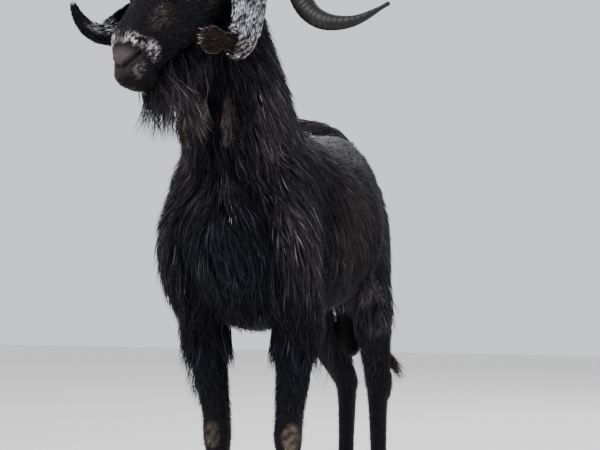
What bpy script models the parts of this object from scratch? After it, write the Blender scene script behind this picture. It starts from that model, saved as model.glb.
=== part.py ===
"""Anatolian black goat: a standing buck with spreading horns, folded ears and a long coat.

Frame: metres, +X is the goat's left, its chest points along -Y, +Z is up, and z = 0 is the
ground under its hooves. Each named part is one closed solid. The long hair is flat, tapered
locks, fused to the part that they grow from.
"""

import math
import random

import bmesh
import bpy
from mathutils import Matrix, Vector
from mathutils.bvhtree import BVHTree

SEED = 41

# Shift that puts the middle of the whole goat's box at x = 0 and y = 0
CENTRE_SHIFT = Vector((-0.0213, 0.0198, 0.0))

# Clearances and mesh sizes
GAP = 0.0003
PROUD = 0.012
FLESH_VOXEL = 0.006
FLESH_SOFTENING = (0.5, 5)
WELD = 0.00002
ROUNDED_RINGS = ((0.55, 0.72), (0.90, 0.30))

# Torso sections: y, height of the widest level, half width, rise above it, drop below it
TORSO = (
    (-0.338, 0.545, 0.050, 0.062, 0.075),
    (-0.308, 0.558, 0.088, 0.108, 0.118),
    (-0.255, 0.570, 0.114, 0.160, 0.142),
    (-0.190, 0.580, 0.122, 0.187, 0.152),
    (-0.100, 0.580, 0.126, 0.176, 0.150),
    (0.000, 0.580, 0.132, 0.168, 0.144),
    (0.090, 0.585, 0.130, 0.168, 0.138),
    (0.170, 0.592, 0.110, 0.172, 0.124),
    (0.230, 0.598, 0.094, 0.170, 0.102),
    (0.290, 0.600, 0.078, 0.162, 0.080),
    (0.340, 0.605, 0.062, 0.142, 0.066),
    (0.376, 0.622, 0.048, 0.108, 0.062),
    (0.402, 0.636, 0.030, 0.062, 0.044),
)

# Neck sections from the chest up: centre, half width, depth to the throat, depth to the nape
NECK = (
    ((0.000, -0.215, 0.640), 0.094, 0.112, 0.108),
    ((0.000, -0.262, 0.725), 0.086, 0.110, 0.102),
    ((-0.002, -0.296, 0.810), 0.073, 0.090, 0.087),
    ((-0.006, -0.320, 0.880), 0.061, 0.072, 0.072),
    ((-0.010, -0.338, 0.940), 0.053, 0.060, 0.060),
    ((-0.014, -0.356, 0.985), 0.044, 0.044, 0.048),
)

# Head frame: its base inside the skull, its heading from the chest's line, its axis's pitch
HEAD_BASE = Vector((-0.016, -0.363, 1.000))
HEAD_YAW = math.radians(23.0)
HEAD_PITCH = math.radians(40.0)

# Head sections: distance along the axis, half width, rise to the face, drop to the jaw
HEAD = (
    (-0.022, 0.042, 0.034, 0.042),
    (0.012, 0.054, 0.046, 0.062),
    (0.055, 0.058, 0.052, 0.078),
    (0.095, 0.056, 0.049, 0.082),
    (0.135, 0.048, 0.041, 0.078),
    (0.170, 0.040, 0.034, 0.072),
    (0.200, 0.035, 0.028, 0.068),
    (0.220, 0.033, 0.022, 0.066),
    (0.232, 0.028, 0.012, 0.058),
)

# Lips, chin, nose and its wings: place in the head frame, radius, and stretch to the side,
# forward and up; the wings lie on both sides
MUZZLE = (
    ((0.243, 0.000, -0.042), 0.0245, (1.42, 1.00, 0.95)),
    ((0.236, 0.000, -0.0585), 0.0215, (1.38, 1.00, 0.85)),
    ((0.238, 0.000, -0.022), 0.0195, (1.40, 1.00, 1.00)),
    ((0.220, 0.000, 0.001), 0.0180, (1.25, 0.80, 1.00)),
)
NOSE_WING = ((0.223, 0.015, -0.018), 0.0180, (1.0, 1.1, 1.0))

# Nostril slit and mouth line: where rays from inside the head leave it (along, rise and
# turn to the side for the mouth, side, rise and turn for the nostril)
NOSTRIL_ALONG = 0.215
NOSTRIL_ROWS = ((0.005, -0.021, 0.05), (0.005, -0.017, 0.34), (0.008, -0.015, 0.67),
                (0.010, -0.013, 1.28))
NOSTRIL_SPREAD = 0.6
NOSTRIL_SINK = 0.001
NOSTRIL_SIZE = (0.0048, 0.0024)
MOUTH_ROWS = ((0.225, -0.038, 0.10), (0.220, -0.039, 0.55), (0.210, -0.041, 1.4),
              (0.197, -0.040, 5.0), (0.178, -0.035, 30.0), (0.160, -0.028, 30.0))
MOUTH_SIZE = (0.0040, 0.0013)

# Eyes, in the head frame: along the axis, to the side, above it, and the ball's radius
EYE_ALONG = 0.124
EYE_UP = 0.016
EYE_RADIUS = 0.0125
EYE_SHOWS = 0.0045
ORBIT = (0.120, 0.034, 0.018)
ORBIT_RADIUS = 0.021
EYE_LOOKS = (0.18, 1.0, 0.10)
LID_REACH = 0.0010
LID_HALF_LENGTH = 0.0128
UPPER_LID = (0.0088, 0.0032)
LOWER_LID = (-0.0070, 0.0025)
LID_TAPER = 0.55
LID_STEPS = 5

# Forelegs, left one: centre, half width, half depth; the right one stands a little nearer in
FORELEG = (
    ((0.078, -0.205, 0.470), 0.034, 0.052),
    ((0.074, -0.212, 0.410), 0.033, 0.044),
    ((0.072, -0.218, 0.340), 0.024, 0.031),
    ((0.068, -0.224, 0.280), 0.0215, 0.026),
    ((0.067, -0.226, 0.245), 0.0240, 0.026),
    ((0.067, -0.222, 0.205), 0.0185, 0.021),
    ((0.067, -0.219, 0.150), 0.0150, 0.0185),
    ((0.067, -0.217, 0.105), 0.0165, 0.0200),
    ((0.067, -0.217, 0.082), 0.0205, 0.0220),
    ((0.067, -0.229, 0.056), 0.0185, 0.0195),
    ((0.067, -0.240, 0.028), 0.0235, 0.0245),
)
FORELEG_INWARD = {1: 0.0, -1: -0.010}

# The right forearm bows outwards, most at one height
FORELEG_BOW = {1: 0.0, -1: 0.014}
BOW_HEIGHT = 0.395
BOW_REACH = 0.100
BOW_FOLLOWS = 0.5

# Hind legs, left one: centre, half width, half depth; the right one stands further back
HINDLEG = (
    ((0.073, 0.238, 0.465), 0.033, 0.060),
    ((0.071, 0.258, 0.415), 0.030, 0.049),
    ((0.063, 0.298, 0.362), 0.0255, 0.037),
    ((0.056, 0.334, 0.315), 0.0220, 0.030),
    ((0.053, 0.353, 0.275), 0.0210, 0.027),
    ((0.053, 0.353, 0.232), 0.0180, 0.0220),
    ((0.054, 0.352, 0.165), 0.0160, 0.0190),
    ((0.055, 0.351, 0.108), 0.0165, 0.0200),
    ((0.055, 0.350, 0.083), 0.0205, 0.0220),
    ((0.055, 0.337, 0.056), 0.0185, 0.0195),
    ((0.055, 0.325, 0.028), 0.0235, 0.0245),
)
HINDLEG_BACK = {1: 0.0, -1: 0.105}
HINDLEG_INWARD = {1: 0.0, -1: -0.009}
STIFLE_BACK = {1: 0.0, -1: 0.050}

# Shoulder, thigh and heel bone of the left side: centre, half width, half depths to the
# front and back; the thigh's third value says how far each level follows the stifle back
SHOULDER = (
    ((0.052, -0.200, 0.735), 0.022, 0.050, 0.050),
    ((0.080, -0.245, 0.650), 0.034, 0.062, 0.062),
    ((0.090, -0.285, 0.565), 0.036, 0.052, 0.056),
    ((0.088, -0.275, 0.515), 0.035, 0.050, 0.052),
    ((0.080, -0.225, 0.460), 0.033, 0.050, 0.052),
)
THIGH = (
    ((0.036, 0.300, 0.665), 0.034, 0.056, 0.062, 0.0),
    ((0.048, 0.288, 0.605), 0.038, 0.078, 0.074, 0.3),
    ((0.057, 0.268, 0.545), 0.037, 0.082, 0.074, 0.6),
    ((0.067, 0.243, 0.480), 0.034, 0.070, 0.062, 1.0),
)
HEEL = (
    ((0.061, 0.338, 0.365), 0.008, 0.010, 0.010),
    ((0.061, 0.368, 0.325), 0.009, 0.011, 0.011),
    ((0.061, 0.381, 0.292), 0.013, 0.014, 0.014),
    ((0.061, 0.368, 0.262), 0.014, 0.016, 0.016),
)

# Claws of one foot: half the distance between them, and the coronet's tilted cut
CLAW_SIDE = 0.0135
CLAW_HALF_WIDTH = 0.0110
CLAW_LENGTH = 0.062
CORONET_HEIGHT = 0.033
CORONET_TILT = math.radians(22.0)
TOE_TO_FOOT = 0.036
TOE_IN = 0.0022
CLAW_WIDTHS = ((0.0, 0.30), (0.14, 0.72), (0.45, 1.0), (0.80, 0.96), (1.0, 0.62))
CLAW_SECTION = ((-1.0, 0.0), (1.0, 0.0), (1.0, 0.005), (0.86, 0.050), (-0.86, 0.050),
                (-1.0, 0.005))
CLAW_SLOPE = 0.42

# Cuts between the body's parts: a point of each plane and the direction to its far side
HEAD_CUT_POINT = (0.029, 0.0, -0.032)
HEAD_CUT_NORMAL = (0.50, 0.0, 0.866)
NECK_CUT_POINT = Vector((0.0, -0.262, 0.672))
NECK_CUT_NORMAL = Vector((0.0, -0.80, 0.60))
SHOULDER_CUT_Y = -0.090
LOIN_CUT_Y = 0.130
THIGH_CUT_POINT = Vector((0.0, 0.130, 0.420))
THIGH_CUT_NORMAL = Vector((0.0, -0.45, 1.0))
LEG_CUT_Z = 0.400
KNEE_CUT_Z = 0.222
HOCK_CUT_Z = 0.250

# Triangles of each core before its locks join it
HEAD_FACES = 1100
TRUNK_FACES = {"neck": 240, "chest": 330, "barrel": 200, "rump": 350}
LEG_FACES = {"thigh": 130, "foreleg upper": 150, "foreleg lower": 210,
             "hindleg upper": 160, "hindleg lower": 220}

# Horns, left one: centre line as distances to the side, forward of and above the head's base
HORN_LINE = (
    (0.0260, 0.012, 0.000),
    (0.0300, 0.006, 0.058),
    (0.0440, -0.014, 0.092),
    (0.0800, -0.040, 0.104),
    (0.1120, -0.054, 0.072),
    (0.1280, -0.056, 0.002),
    (0.1440, -0.058, -0.066),
    (0.1820, -0.060, -0.102),
    (0.2360, -0.072, -0.108),
    (0.2840, -0.096, -0.084),
)
HORN_BASE_RADIUS = 0.0245
HORN_TIP_RADIUS = 0.0035
HORN_FLATTEN = 0.86
HORN_STEPS = 24
HORN_CUT_STEP = 3
HORN_SIDES = 8
HORN_RINGS = (0.035, 2.4)
HORN_TAPER = (3.0, 0.85)
HORN_FACING = (0.9, 0.25)

# Ears: centre line and half width there; the tips fold forward and up
EAR_LEFT = (
    ((0.020, -0.362, 1.002), 0.016),
    ((0.050, -0.372, 0.998), 0.021),
    ((0.067, -0.388, 0.968), 0.029),
    ((0.069, -0.411, 0.926), 0.034),
    ((0.069, -0.427, 0.882), 0.028),
    ((0.064, -0.443, 0.856), 0.023),
    ((0.055, -0.460, 0.862), 0.010),
    ((0.041, -0.485, 0.859), 0.021),
    ((0.029, -0.500, 0.862), 0.012),
)
EAR_RIGHT = (
    ((-0.042, -0.338, 1.002), 0.016),
    ((-0.070, -0.336, 0.998), 0.021),
    ((-0.094, -0.352, 0.963), 0.025),
    ((-0.114, -0.378, 0.929), 0.027),
    ((-0.137, -0.408, 0.900), 0.028),
    ((-0.159, -0.430, 0.886), 0.022),
    ((-0.182, -0.442, 0.892), 0.016),
    ((-0.201, -0.445, 0.911), 0.010),
    ((-0.212, -0.443, 0.931), 0.005),
)
# The outer side of each ear faces away from a point in the head
EAR_FACES = {1: (-0.100, -0.320, 0.930), -1: (-0.041, -0.423, 0.945)}
EAR_THICKNESS = 0.0045
EAR_CUP = 0.012
EAR_CUP_WIDTH = 0.030
EAR_INNER_WIDTH = 0.93
EAR_STEPS = 6
EAR_CUT_ROW = 1
EAR_FOLD_ROW = 5

# Tail, raised over the rump and laid to the right: centre and radius
TAIL = (
    ((0.000, 0.335, 0.700), 0.018),
    ((-0.006, 0.376, 0.736), 0.018),
    ((-0.018, 0.386, 0.764), 0.017),
    ((-0.040, 0.380, 0.791), 0.015),
    ((-0.068, 0.358, 0.808), 0.012),
    ((-0.092, 0.330, 0.812), 0.007),
)
TAIL_SECTION = (1.10, 0.85)

# Scrotum, sheath and left wattle: centre, half width, half depth
SCROTUM = (
    ((0.000, 0.270, 0.570), 0.018, 0.018),
    ((0.000, 0.280, 0.508), 0.018, 0.018),
    ((0.000, 0.312, 0.452), 0.021, 0.024),
    ((0.000, 0.334, 0.407), 0.027, 0.031),
    ((0.000, 0.341, 0.373), 0.026, 0.030),
    ((0.000, 0.342, 0.352), 0.017, 0.020),
)
SHEATH = (
    ((0.000, 0.130, 0.500), 0.014, 0.018),
    ((0.000, 0.160, 0.452), 0.014, 0.018),
    ((0.000, 0.175, 0.430), 0.014, 0.017),
    ((0.000, 0.184, 0.404), 0.008, 0.010),
)
WATTLE = (
    ((0.022, -0.365, 0.815), 0.0070, 0.0070),
    ((0.032, -0.404, 0.793), 0.0070, 0.0070),
    ((0.035, -0.415, 0.772), 0.0080, 0.0075),
    ((0.036, -0.419, 0.745), 0.0095, 0.0090),
    ((0.035, -0.420, 0.722), 0.0075, 0.0070),
)

# Beard: distance along the head, places to the side, length and half width of a lock
BEARD_ROWS = (
    (0.214, (0.000, 0.014), 0.058, 0.009),
    (0.198, (-0.009, 0.006, 0.018), 0.108, 0.011),
    (0.178, (-0.012, 0.004, 0.020), 0.120, 0.014),
    (0.155, (-0.022, -0.003, 0.022), 0.094, 0.015),
    (0.130, (-0.026, 0.0, 0.026), 0.092, 0.018),
    (0.104, (-0.020, 0.022), 0.078, 0.018),
)
BEARD_WIDTHS = (0.90, 1.00, 0.90, 0.60, 0.10)
BEARD_THICKNESS = (0.0042, 0.0045, 0.0036, 0.0024, 0.0007)
BEARD_SINK = 0.009
BEARD_SWING = 0.25
BEARD_START = -0.010
BEARD_SPREAD = 22.0

# Coat: how far the core of each part stands off the flesh
CORE_DEPTH = {"neck": 0.004, "chest": 0.005, "barrel": 0.003, "rump": 0.003, "leg": 0.001}

# Coat zones: a line inside the body, the way that its first angle faces, rows along the
# line, locks around it between two angles, a lock's length, half width and lift, its lie
FORWARD = (0.0, -1.0, 0.0)
SKYWARD = (0.0, 0.0, 1.0)
EARTHWARD = (0.0, 0.0, -1.0)
NECK_ZONE = ((0.0, -0.236, 0.645), (-0.008, -0.328, 0.955), FORWARD, 5, 8, -180, 180,
             0.095, 0.020, 0.013, (0.0, 0.30, -1.0))
CHEST_ZONE = ((0.0, -0.215, 0.705), (0.0, -0.215, 0.480), FORWARD, 4, 9, -130, 130,
              0.105, 0.021, 0.018, (0.0, 0.16, -1.0))
BRISKET_ZONE = ((0.0, -0.290, 0.500), (0.0, -0.130, 0.500), EARTHWARD, 2, 3, -46, 46,
                0.055, 0.017, 0.013, (0.0, 0.9, -1.0))
BARREL_ZONE = ((0.0, -0.100, 0.590), (0.0, 0.125, 0.590), SKYWARD, 3, 3, 60, 162,
               0.105, 0.028, 0.011, (0.0, 0.50, -1.0))
RUMP_ZONE = ((0.0, 0.145, 0.610), (0.0, 0.350, 0.630), SKYWARD, 3, 2, 52, 128,
             0.100, 0.027, 0.010, (0.0, 0.30, -1.0))
THIGH_ZONE = ((0.060, 0.262, 0.480), (0.066, 0.250, 0.430), FORWARD, 2, 3, 20, 215,
              0.070, 0.021, 0.010, (0.0, 0.30, -1.0))
FOREARM_ZONE = ((0.074, -0.214, 0.390), (0.069, -0.222, 0.290), FORWARD, 2, 3, 40, 250,
                0.072, 0.016, 0.013, (0.0, 0.25, -1.0))
GASKIN_ZONE = ((0.069, 0.270, 0.385), (0.063, 0.335, 0.315), FORWARD, 2, 3, 50, 230,
               0.058, 0.013, 0.010, (0.0, 0.30, -1.0))
FORELOCK_ALONG = (0.000, 0.034)
FORELOCK = (2, 3, -34, 34, 0.064, 0.011, 0.012)
LOCK_WIDTHS = (0.80, 1.00, 0.80, 0.12)
LOCK_THICKNESS = (0.0036, 0.0036, 0.0028, 0.0008)
LOCK_SINK = 0.007
LOCK_RISE = 0.003
LOCK_CLEARANCE = 0.004
LOCK_SHARES = (1.0, 0.72, 0.5)
LOCK_LEAN = 0.12
LOCK_SPREAD = 0.15

# How far the locks of a leg follow its stance, and places inside the thigh and above the foot
THIGH_FOLLOWS = 0.3
LEG_FOLLOWS = 0.7
GASKIN_FOLLOWS = (0.4, 0.6)
THIGH_INSIDE = (0.060, 0.250, 0.450)
ABOVE_FOOT = Vector((0.0, 0.0, 0.200))

UP = Vector((0.0, 0.0, 1.0))
DOWN = -UP
SIDEWAYS = Vector((1.0, 0.0, 0.0))
SIDES = (("left", 1), ("right", -1))


def clear_scene():
    """Remove whatever the file starts with."""
    for item in list(bpy.data.objects):
        bpy.data.objects.remove(item, do_unlink=True)


def new_collection(name):
    """A collection linked to the scene."""
    made = bpy.data.collections.new(name)
    bpy.context.scene.collection.children.link(made)
    return made


def new_material(name, colour, roughness):
    """A plain Principled material in one colour."""
    material = bpy.data.materials.new(name)
    material.use_nodes = True
    shader = material.node_tree.nodes["Principled BSDF"]
    shader.inputs["Base Color"].default_value = (*colour, 1.0)
    shader.inputs["Roughness"].default_value = roughness
    shader.inputs["Metallic"].default_value = 0.0
    return material


def head_axes():
    """Forward along the head, out to its left, and up out of its face."""
    heading = Vector((-math.sin(HEAD_YAW), -math.cos(HEAD_YAW), 0.0))
    forward = heading * math.cos(HEAD_PITCH) + DOWN * math.sin(HEAD_PITCH)
    upward = heading * math.sin(HEAD_PITCH) + UP * math.cos(HEAD_PITCH)
    side = Vector((math.cos(HEAD_YAW), -math.sin(HEAD_YAW), 0.0))
    return forward, side, upward


HEAD_FORWARD, HEAD_SIDE, HEAD_UP = head_axes()


def head_point(along, side, rise):
    """A point given in the head's own frame."""
    return HEAD_BASE + HEAD_FORWARD * along + HEAD_SIDE * side + HEAD_UP * rise


def ring(bm, centre, side, front, back, segments):
    """One closed ring, with its own reach to the side, to the front and to the back."""
    made = bmesh.ops.create_circle(bm, cap_ends=False, radius=1.0, segments=segments)
    for vert in made["verts"]:
        across, along = vert.co.x, vert.co.y
        reach = front if along > 0.0 else back
        vert.co = centre + side * across + reach * abs(along)
    return [edge for edge in bm.edges if edge.verts[0] in made["verts"]
            and edge.verts[1] in made["verts"]]


def path_tangents(points):
    """Directions along a path of points."""
    tangents = []
    for index in range(len(points)):
        before = points[max(index - 1, 0)]
        after = points[min(index + 1, len(points) - 1)]
        tangents.append((after - before).normalized())
    return tangents


def placed_rings(rows, side_hint=SIDEWAYS):
    """Rows of centre, half width, front and back reach, turned square to their path."""
    points = [Vector(row[0]) for row in rows]
    placed = []
    for point, tangent, row in zip(points, path_tangents(points), rows):
        side = (side_hint - tangent * side_hint.dot(tangent)).normalized()
        front = tangent.cross(side)
        placed.append((point, side * row[1], front * row[2], -front * row[3], tangent))
    return placed


def rounded_end(placed, direction, rounding):
    """Two smaller rings past an end, set out by a share of the end's own size."""
    point, side, front, back, tangent = placed
    size = min(side.length, front.length, back.length)
    extra = []
    for share, scale in ROUNDED_RINGS:
        moved = point + tangent * direction * size * rounding * share
        extra.append((moved, side * scale, front * scale, back * scale, tangent))
    return extra


def tube(bm, placed, segments, start=0.6, end=0.6):
    """A closed tube through placed rings, with rounded ends, or flat ones where 0."""
    rings = list(placed)
    if start:
        rings = rounded_end(placed[0], -1.0, start)[::-1] + rings
    if end:
        rings = rings + rounded_end(placed[-1], 1.0, end)
    loops = [ring(bm, *item[:4], segments) for item in rings]
    for first, second in zip(loops, loops[1:]):
        bmesh.ops.bridge_loops(bm, edges=first + second)
    for loop in (loops[0], loops[-1]):
        bmesh.ops.contextual_create(bm, geom=loop)


def loft(bm, rows, segments, side_hint=SIDEWAYS, start=0.6, end=0.6):
    """A closed tube through rows of centre, half width, front reach and back reach."""
    tube(bm, placed_rings(rows, side_hint), segments, start, end)


def ball(bm, centre, radius, stretch=(1.0, 1.0, 1.0), axes=None, segments=14):
    """A ball or egg whose own axes may be turned."""
    turn = Matrix.Identity(4)
    if axes:
        turn = Matrix((axes[0], axes[1], axes[2])).transposed().to_4x4()
    scale = Matrix.Diagonal((*[radius * value for value in stretch], 1.0))
    place = Matrix.Translation(centre) @ turn @ scale
    bmesh.ops.create_uvsphere(bm, u_segments=segments, v_segments=segments // 2 + 1,
                              radius=1.0, matrix=place)


def object_from(bm, name, target, material=None):
    """An object that holds a bmesh, with its faces pointing out."""
    bmesh.ops.recalc_face_normals(bm, faces=bm.faces)
    mesh = bpy.data.meshes.new(name)
    bm.to_mesh(mesh)
    bm.free()
    made = bpy.data.objects.new(name, mesh)
    target.objects.link(made)
    if material:
        mesh.materials.append(material)
    return made


def bmesh_of(source):
    """A bmesh copy of an object with its modifiers applied."""
    depsgraph = bpy.context.evaluated_depsgraph_get()
    mesh = bpy.data.meshes.new_from_object(source.evaluated_get(depsgraph))
    bm = bmesh.new()
    bm.from_mesh(mesh)
    bpy.data.meshes.remove(mesh)
    return bm


def drop_object(item):
    """Remove an object and its mesh."""
    mesh = item.data
    bpy.data.objects.remove(item, do_unlink=True)
    bpy.data.meshes.remove(mesh)


def leg_rows(rows, sign, inward, back=0.0, stifle_back=0.0, bow=0.0):
    """One leg's sections; down to the knee or hock it moves inwards and back by degrees."""
    made = []
    top = rows[0][0][2]
    joint = rows[4][0][2]
    for (x, y, z), half_width, half_depth in rows:
        share = min(1.0, max(0.0, (top - z) / (top - joint)))
        shift = stifle_back + (back - stifle_back) * share
        out = bow * max(0.0, 1.0 - abs(z - BOW_HEIGHT) / BOW_REACH)
        place = ((x + inward * share + out) * sign, y + shift, z)
        made.append((place, half_width, half_depth, half_depth))
    return made


def foreleg_rows(sign):
    """The sections of one foreleg."""
    return leg_rows(FORELEG, sign, FORELEG_INWARD[sign], bow=FORELEG_BOW[sign])


def hindleg_rows(sign):
    """The sections of one hind leg."""
    return leg_rows(HINDLEG, sign, HINDLEG_INWARD[sign], HINDLEG_BACK[sign],
                    STIFLE_BACK[sign])


def body_flesh(work):
    """Head, neck, torso and legs as one smooth closed surface."""
    bm = bmesh.new()
    loft(bm, [((0.0, y, z), width, drop, rise) for y, z, width, rise, drop in TORSO], 24)
    loft(bm, NECK, 20)
    loft(bm, [(head_point(along, 0.0, 0.0), width, rise, drop)
              for along, width, rise, drop in HEAD], 20, HEAD_SIDE, 0.8, 0.8)
    muzzle(bm)
    for _, sign in SIDES:
        shoulder(bm, sign)
        thigh(bm, sign)
        loft(bm, foreleg_rows(sign), 14)
        loft(bm, hindleg_rows(sign), 14)
        heel(bm, sign)
        ball(bm, head_point(ORBIT[0], sign * ORBIT[1], ORBIT[2]), ORBIT_RADIUS)
    flesh = object_from(bm, "flesh", work)
    remesh = flesh.modifiers.new("one surface", "REMESH")
    remesh.mode = "VOXEL"
    remesh.voxel_size = FLESH_VOXEL
    smooth = flesh.modifiers.new("soften", "SMOOTH")
    smooth.factor, smooth.iterations = FLESH_SOFTENING
    return flesh


def muzzle(bm):
    """The lips, the chin and the wings of the nose."""
    axes = (HEAD_SIDE, HEAD_FORWARD, HEAD_UP)
    for place, radius, stretch in MUZZLE:
        ball(bm, head_point(*place), radius, stretch, axes)
    (along, side, rise), radius, stretch = NOSE_WING
    for _, sign in SIDES:
        ball(bm, head_point(along, sign * side, rise), radius, stretch, axes)


def shoulder(bm, sign):
    """The shoulder blade and the upper arm under the skin."""
    loft(bm, [((x * sign, y, z), width, front, rear)
              for (x, y, z), width, front, rear in SHOULDER], 16)


def thigh(bm, sign):
    """The buttock and thigh down to the stifle."""
    back = STIFLE_BACK[sign]
    loft(bm, [((x * sign, y + back * share, z), width, front, rear)
              for (x, y, z), width, front, rear, share in THIGH], 18)


def heel(bm, sign):
    """The heel bone behind the hock and the tendon above it."""
    inward = HINDLEG_INWARD[sign]
    back = HINDLEG_BACK[sign]
    loft(bm, [(((x + inward) * sign, y + back, z), width, front, rear)
              for (x, y, z), width, front, rear in HEEL], 10)


def islands(bm):
    """The separate surfaces of a bmesh, as lists of faces."""
    seen = set()
    found = []
    for start in bm.faces:
        if start in seen:
            continue
        stack = [start]
        seen.add(start)
        group = []
        while stack:
            face = stack.pop()
            group.append(face)
            for edge in face.edges:
                for other in edge.link_faces:
                    if other not in seen:
                        seen.add(other)
                        stack.append(other)
        found.append(group)
    return found


def enclosed(faces):
    """The volume that a closed group of faces encloses."""
    total = 0.0
    for face in faces:
        first = face.verts[0].co
        for second, third in zip(face.verts[1:-1], face.verts[2:]):
            total += first.dot(second.co.cross(third.co))
    return total / 6.0


def keep_largest(bm):
    """Keep only the largest closed surface."""
    groups = sorted(islands(bm), key=lambda group: -abs(enclosed(group)))
    loose = [face for group in groups[1:] for face in group]
    if loose:
        bmesh.ops.delete(bm, geom=loose, context="FACES")


def keep_island_near(bm, place):
    """Keep only the surface whose middle is nearest to a place."""
    def distance(group):
        total = Vector()
        for face in group:
            total += face.calc_center_median()
        return (total / len(group) - place).length
    groups = sorted(islands(bm), key=distance)
    loose = [face for group in groups[1:] for face in group]
    if loose:
        bmesh.ops.delete(bm, geom=loose, context="FACES")


def cut(bm, point, normal, clearance=0.0):
    """Keep what lies on the normal's side of a plane, and close the cut."""
    normal = Vector(normal).normalized()
    geometry = bm.verts[:] + bm.edges[:] + bm.faces[:]
    bmesh.ops.bisect_plane(bm, geom=geometry, dist=1e-7, plane_no=normal,
                           plane_co=Vector(point) + normal * clearance, clear_inner=True)
    open_edges = [edge for edge in bm.edges if edge.is_boundary]
    if open_edges:
        bmesh.ops.holes_fill(bm, edges=open_edges, sides=0)


def thin_out(item, faces):
    """Bring a closed mesh down to about a number of triangles."""
    count = sum(len(face.vertices) - 2 for face in item.data.polygons)
    if count > faces:
        fewer = item.modifiers.new("fewer faces", "DECIMATE")
        fewer.ratio = faces / count
        fewer.use_collapse_triangulate = True
        bm = bmesh_of(item)
        item.modifiers.clear()
        bm.to_mesh(item.data)
        bm.free()


def head_cut():
    """The plane between head and neck, whose normal points into the head."""
    point = head_point(*HEAD_CUT_POINT)
    along, side, rise = HEAD_CUT_NORMAL
    normal = HEAD_FORWARD * along + HEAD_SIDE * side + HEAD_UP * rise
    return point, normal.normalized()


def coronet_cut(place):
    """The tilted plane between a foot and its claws, whose normal points up the leg."""
    point = Vector((place[0], place[1], CORONET_HEIGHT))
    normal = Vector((0.0, math.sin(CORONET_TILT), math.cos(CORONET_TILT)))
    return point, normal


def foot_place(kind, sign):
    """The middle of a foot at its coronet."""
    rows = foreleg_rows(sign) if kind == "foreleg" else hindleg_rows(sign)
    return Vector(rows[-1][0])


def flesh_piece(flesh, planes, faces, depth, work, near=None):
    """A part of the flesh, cut a little proud of its planes, thinned out and swollen."""
    bm = bmesh_of(flesh)
    for point, normal in planes:
        cut(bm, point, normal, -PROUD)
    if near:
        keep_island_near(bm, near)
    piece = object_from(bm, "core", work)
    thin_out(piece, faces)
    bm = bmesh.new()
    bm.from_mesh(piece.data)
    bm.normal_update()
    for vert in bm.verts:
        vert.co += vert.normal * depth
    bm.to_mesh(piece.data)
    bm.free()
    return piece


def fuse(core, extras, name):
    """Fuse closed meshes into the core with one union."""
    if not extras:
        return
    group = bpy.data.collections.new(name + " pieces")
    bpy.context.scene.collection.children.link(group)
    for extra in extras:
        for owner in list(extra.users_collection):
            owner.objects.unlink(extra)
        group.objects.link(extra)
    union = core.modifiers.new("fuse", "BOOLEAN")
    union.operation = "UNION"
    union.operand_type = "COLLECTION"
    union.collection = group
    union.solver = "MANIFOLD"
    bm = bmesh_of(core)
    core.modifiers.clear()
    bm.to_mesh(core.data)
    bm.free()
    for extra in extras:
        drop_object(extra)
    bpy.data.collections.remove(group)


def carve(core, cutters):
    """Cut closed meshes out of the core."""
    for cutter in cutters:
        cutter.hide_render = True
        cutter.display_type = "WIRE"
        difference = core.modifiers.new("carve", "BOOLEAN")
        difference.operation = "DIFFERENCE"
        difference.object = cutter
        difference.solver = "MANIFOLD"
    bm = bmesh_of(core)
    core.modifiers.clear()
    bm.to_mesh(core.data)
    bm.free()
    for cutter in cutters:
        drop_object(cutter)


def finish_node(piece, name, planes, parts, material):
    """Trim a node at its planes, keep its one surface, and file it under its name."""
    bm = bmesh.new()
    bm.from_mesh(piece.data)
    for point, normal in planes:
        cut(bm, point, normal, GAP / 2)
    keep_largest(bm)
    bmesh.ops.translate(bm, verts=bm.verts, vec=CENTRE_SHIFT)
    bmesh.ops.remove_doubles(bm, verts=bm.verts, dist=WELD)
    bmesh.ops.dissolve_degenerate(bm, edges=bm.edges, dist=WELD)
    bmesh.ops.triangulate(bm, faces=bm.faces)
    drop_object(piece)
    made = object_from(bm, name, parts, material)
    made.data.shade_smooth()
    return made


def smooth_line(points, steps):
    """A smooth path through a few points, as evenly many steps from each to the next."""
    path = []
    last = len(points) - 1
    for step in range(steps + 1):
        place = step / steps * last
        index = min(int(place), last - 1)
        t = place - index
        a = points[max(index - 1, 0)]
        b = points[index]
        c = points[index + 1]
        d = points[min(index + 2, last)]
        path.append(0.5 * ((2 * b) + (c - a) * t + (2 * a - 5 * b + 4 * c - d) * t * t
                           + (3 * b - a - 3 * c + d) * t * t * t))
    return path


def horn_radius(share):
    """A horn's half thickness: nearly even at first, then tapering to a blunt tip."""
    late, curve = HORN_TAPER
    body = HORN_BASE_RADIUS * (1.0 - share ** late) ** curve
    return max(HORN_TIP_RADIUS, body)


def horn_rings(sign, steps=HORN_STEPS):
    """The rings of a horn, from inside the skull to its tip, with low growth rings."""
    ahead = Vector((-math.sin(HEAD_YAW), -math.cos(HEAD_YAW), 0.0))
    points = [HEAD_BASE + HEAD_SIDE * side * sign + ahead * forward + UP * rise
              for side, forward, rise in HORN_LINE]
    height, pace = HORN_RINGS
    rows = []
    for step, point in enumerate(smooth_line(points, steps)):
        share = step / steps
        swell = height * math.sin(share * HORN_STEPS * pace) * (1.0 - share)
        radius = horn_radius(share) * (1.0 + swell)
        rows.append((point, radius * HORN_FLATTEN, radius, radius))
    forward, rise = HORN_FACING
    return placed_rings(rows, ahead * forward + UP * rise)


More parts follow.
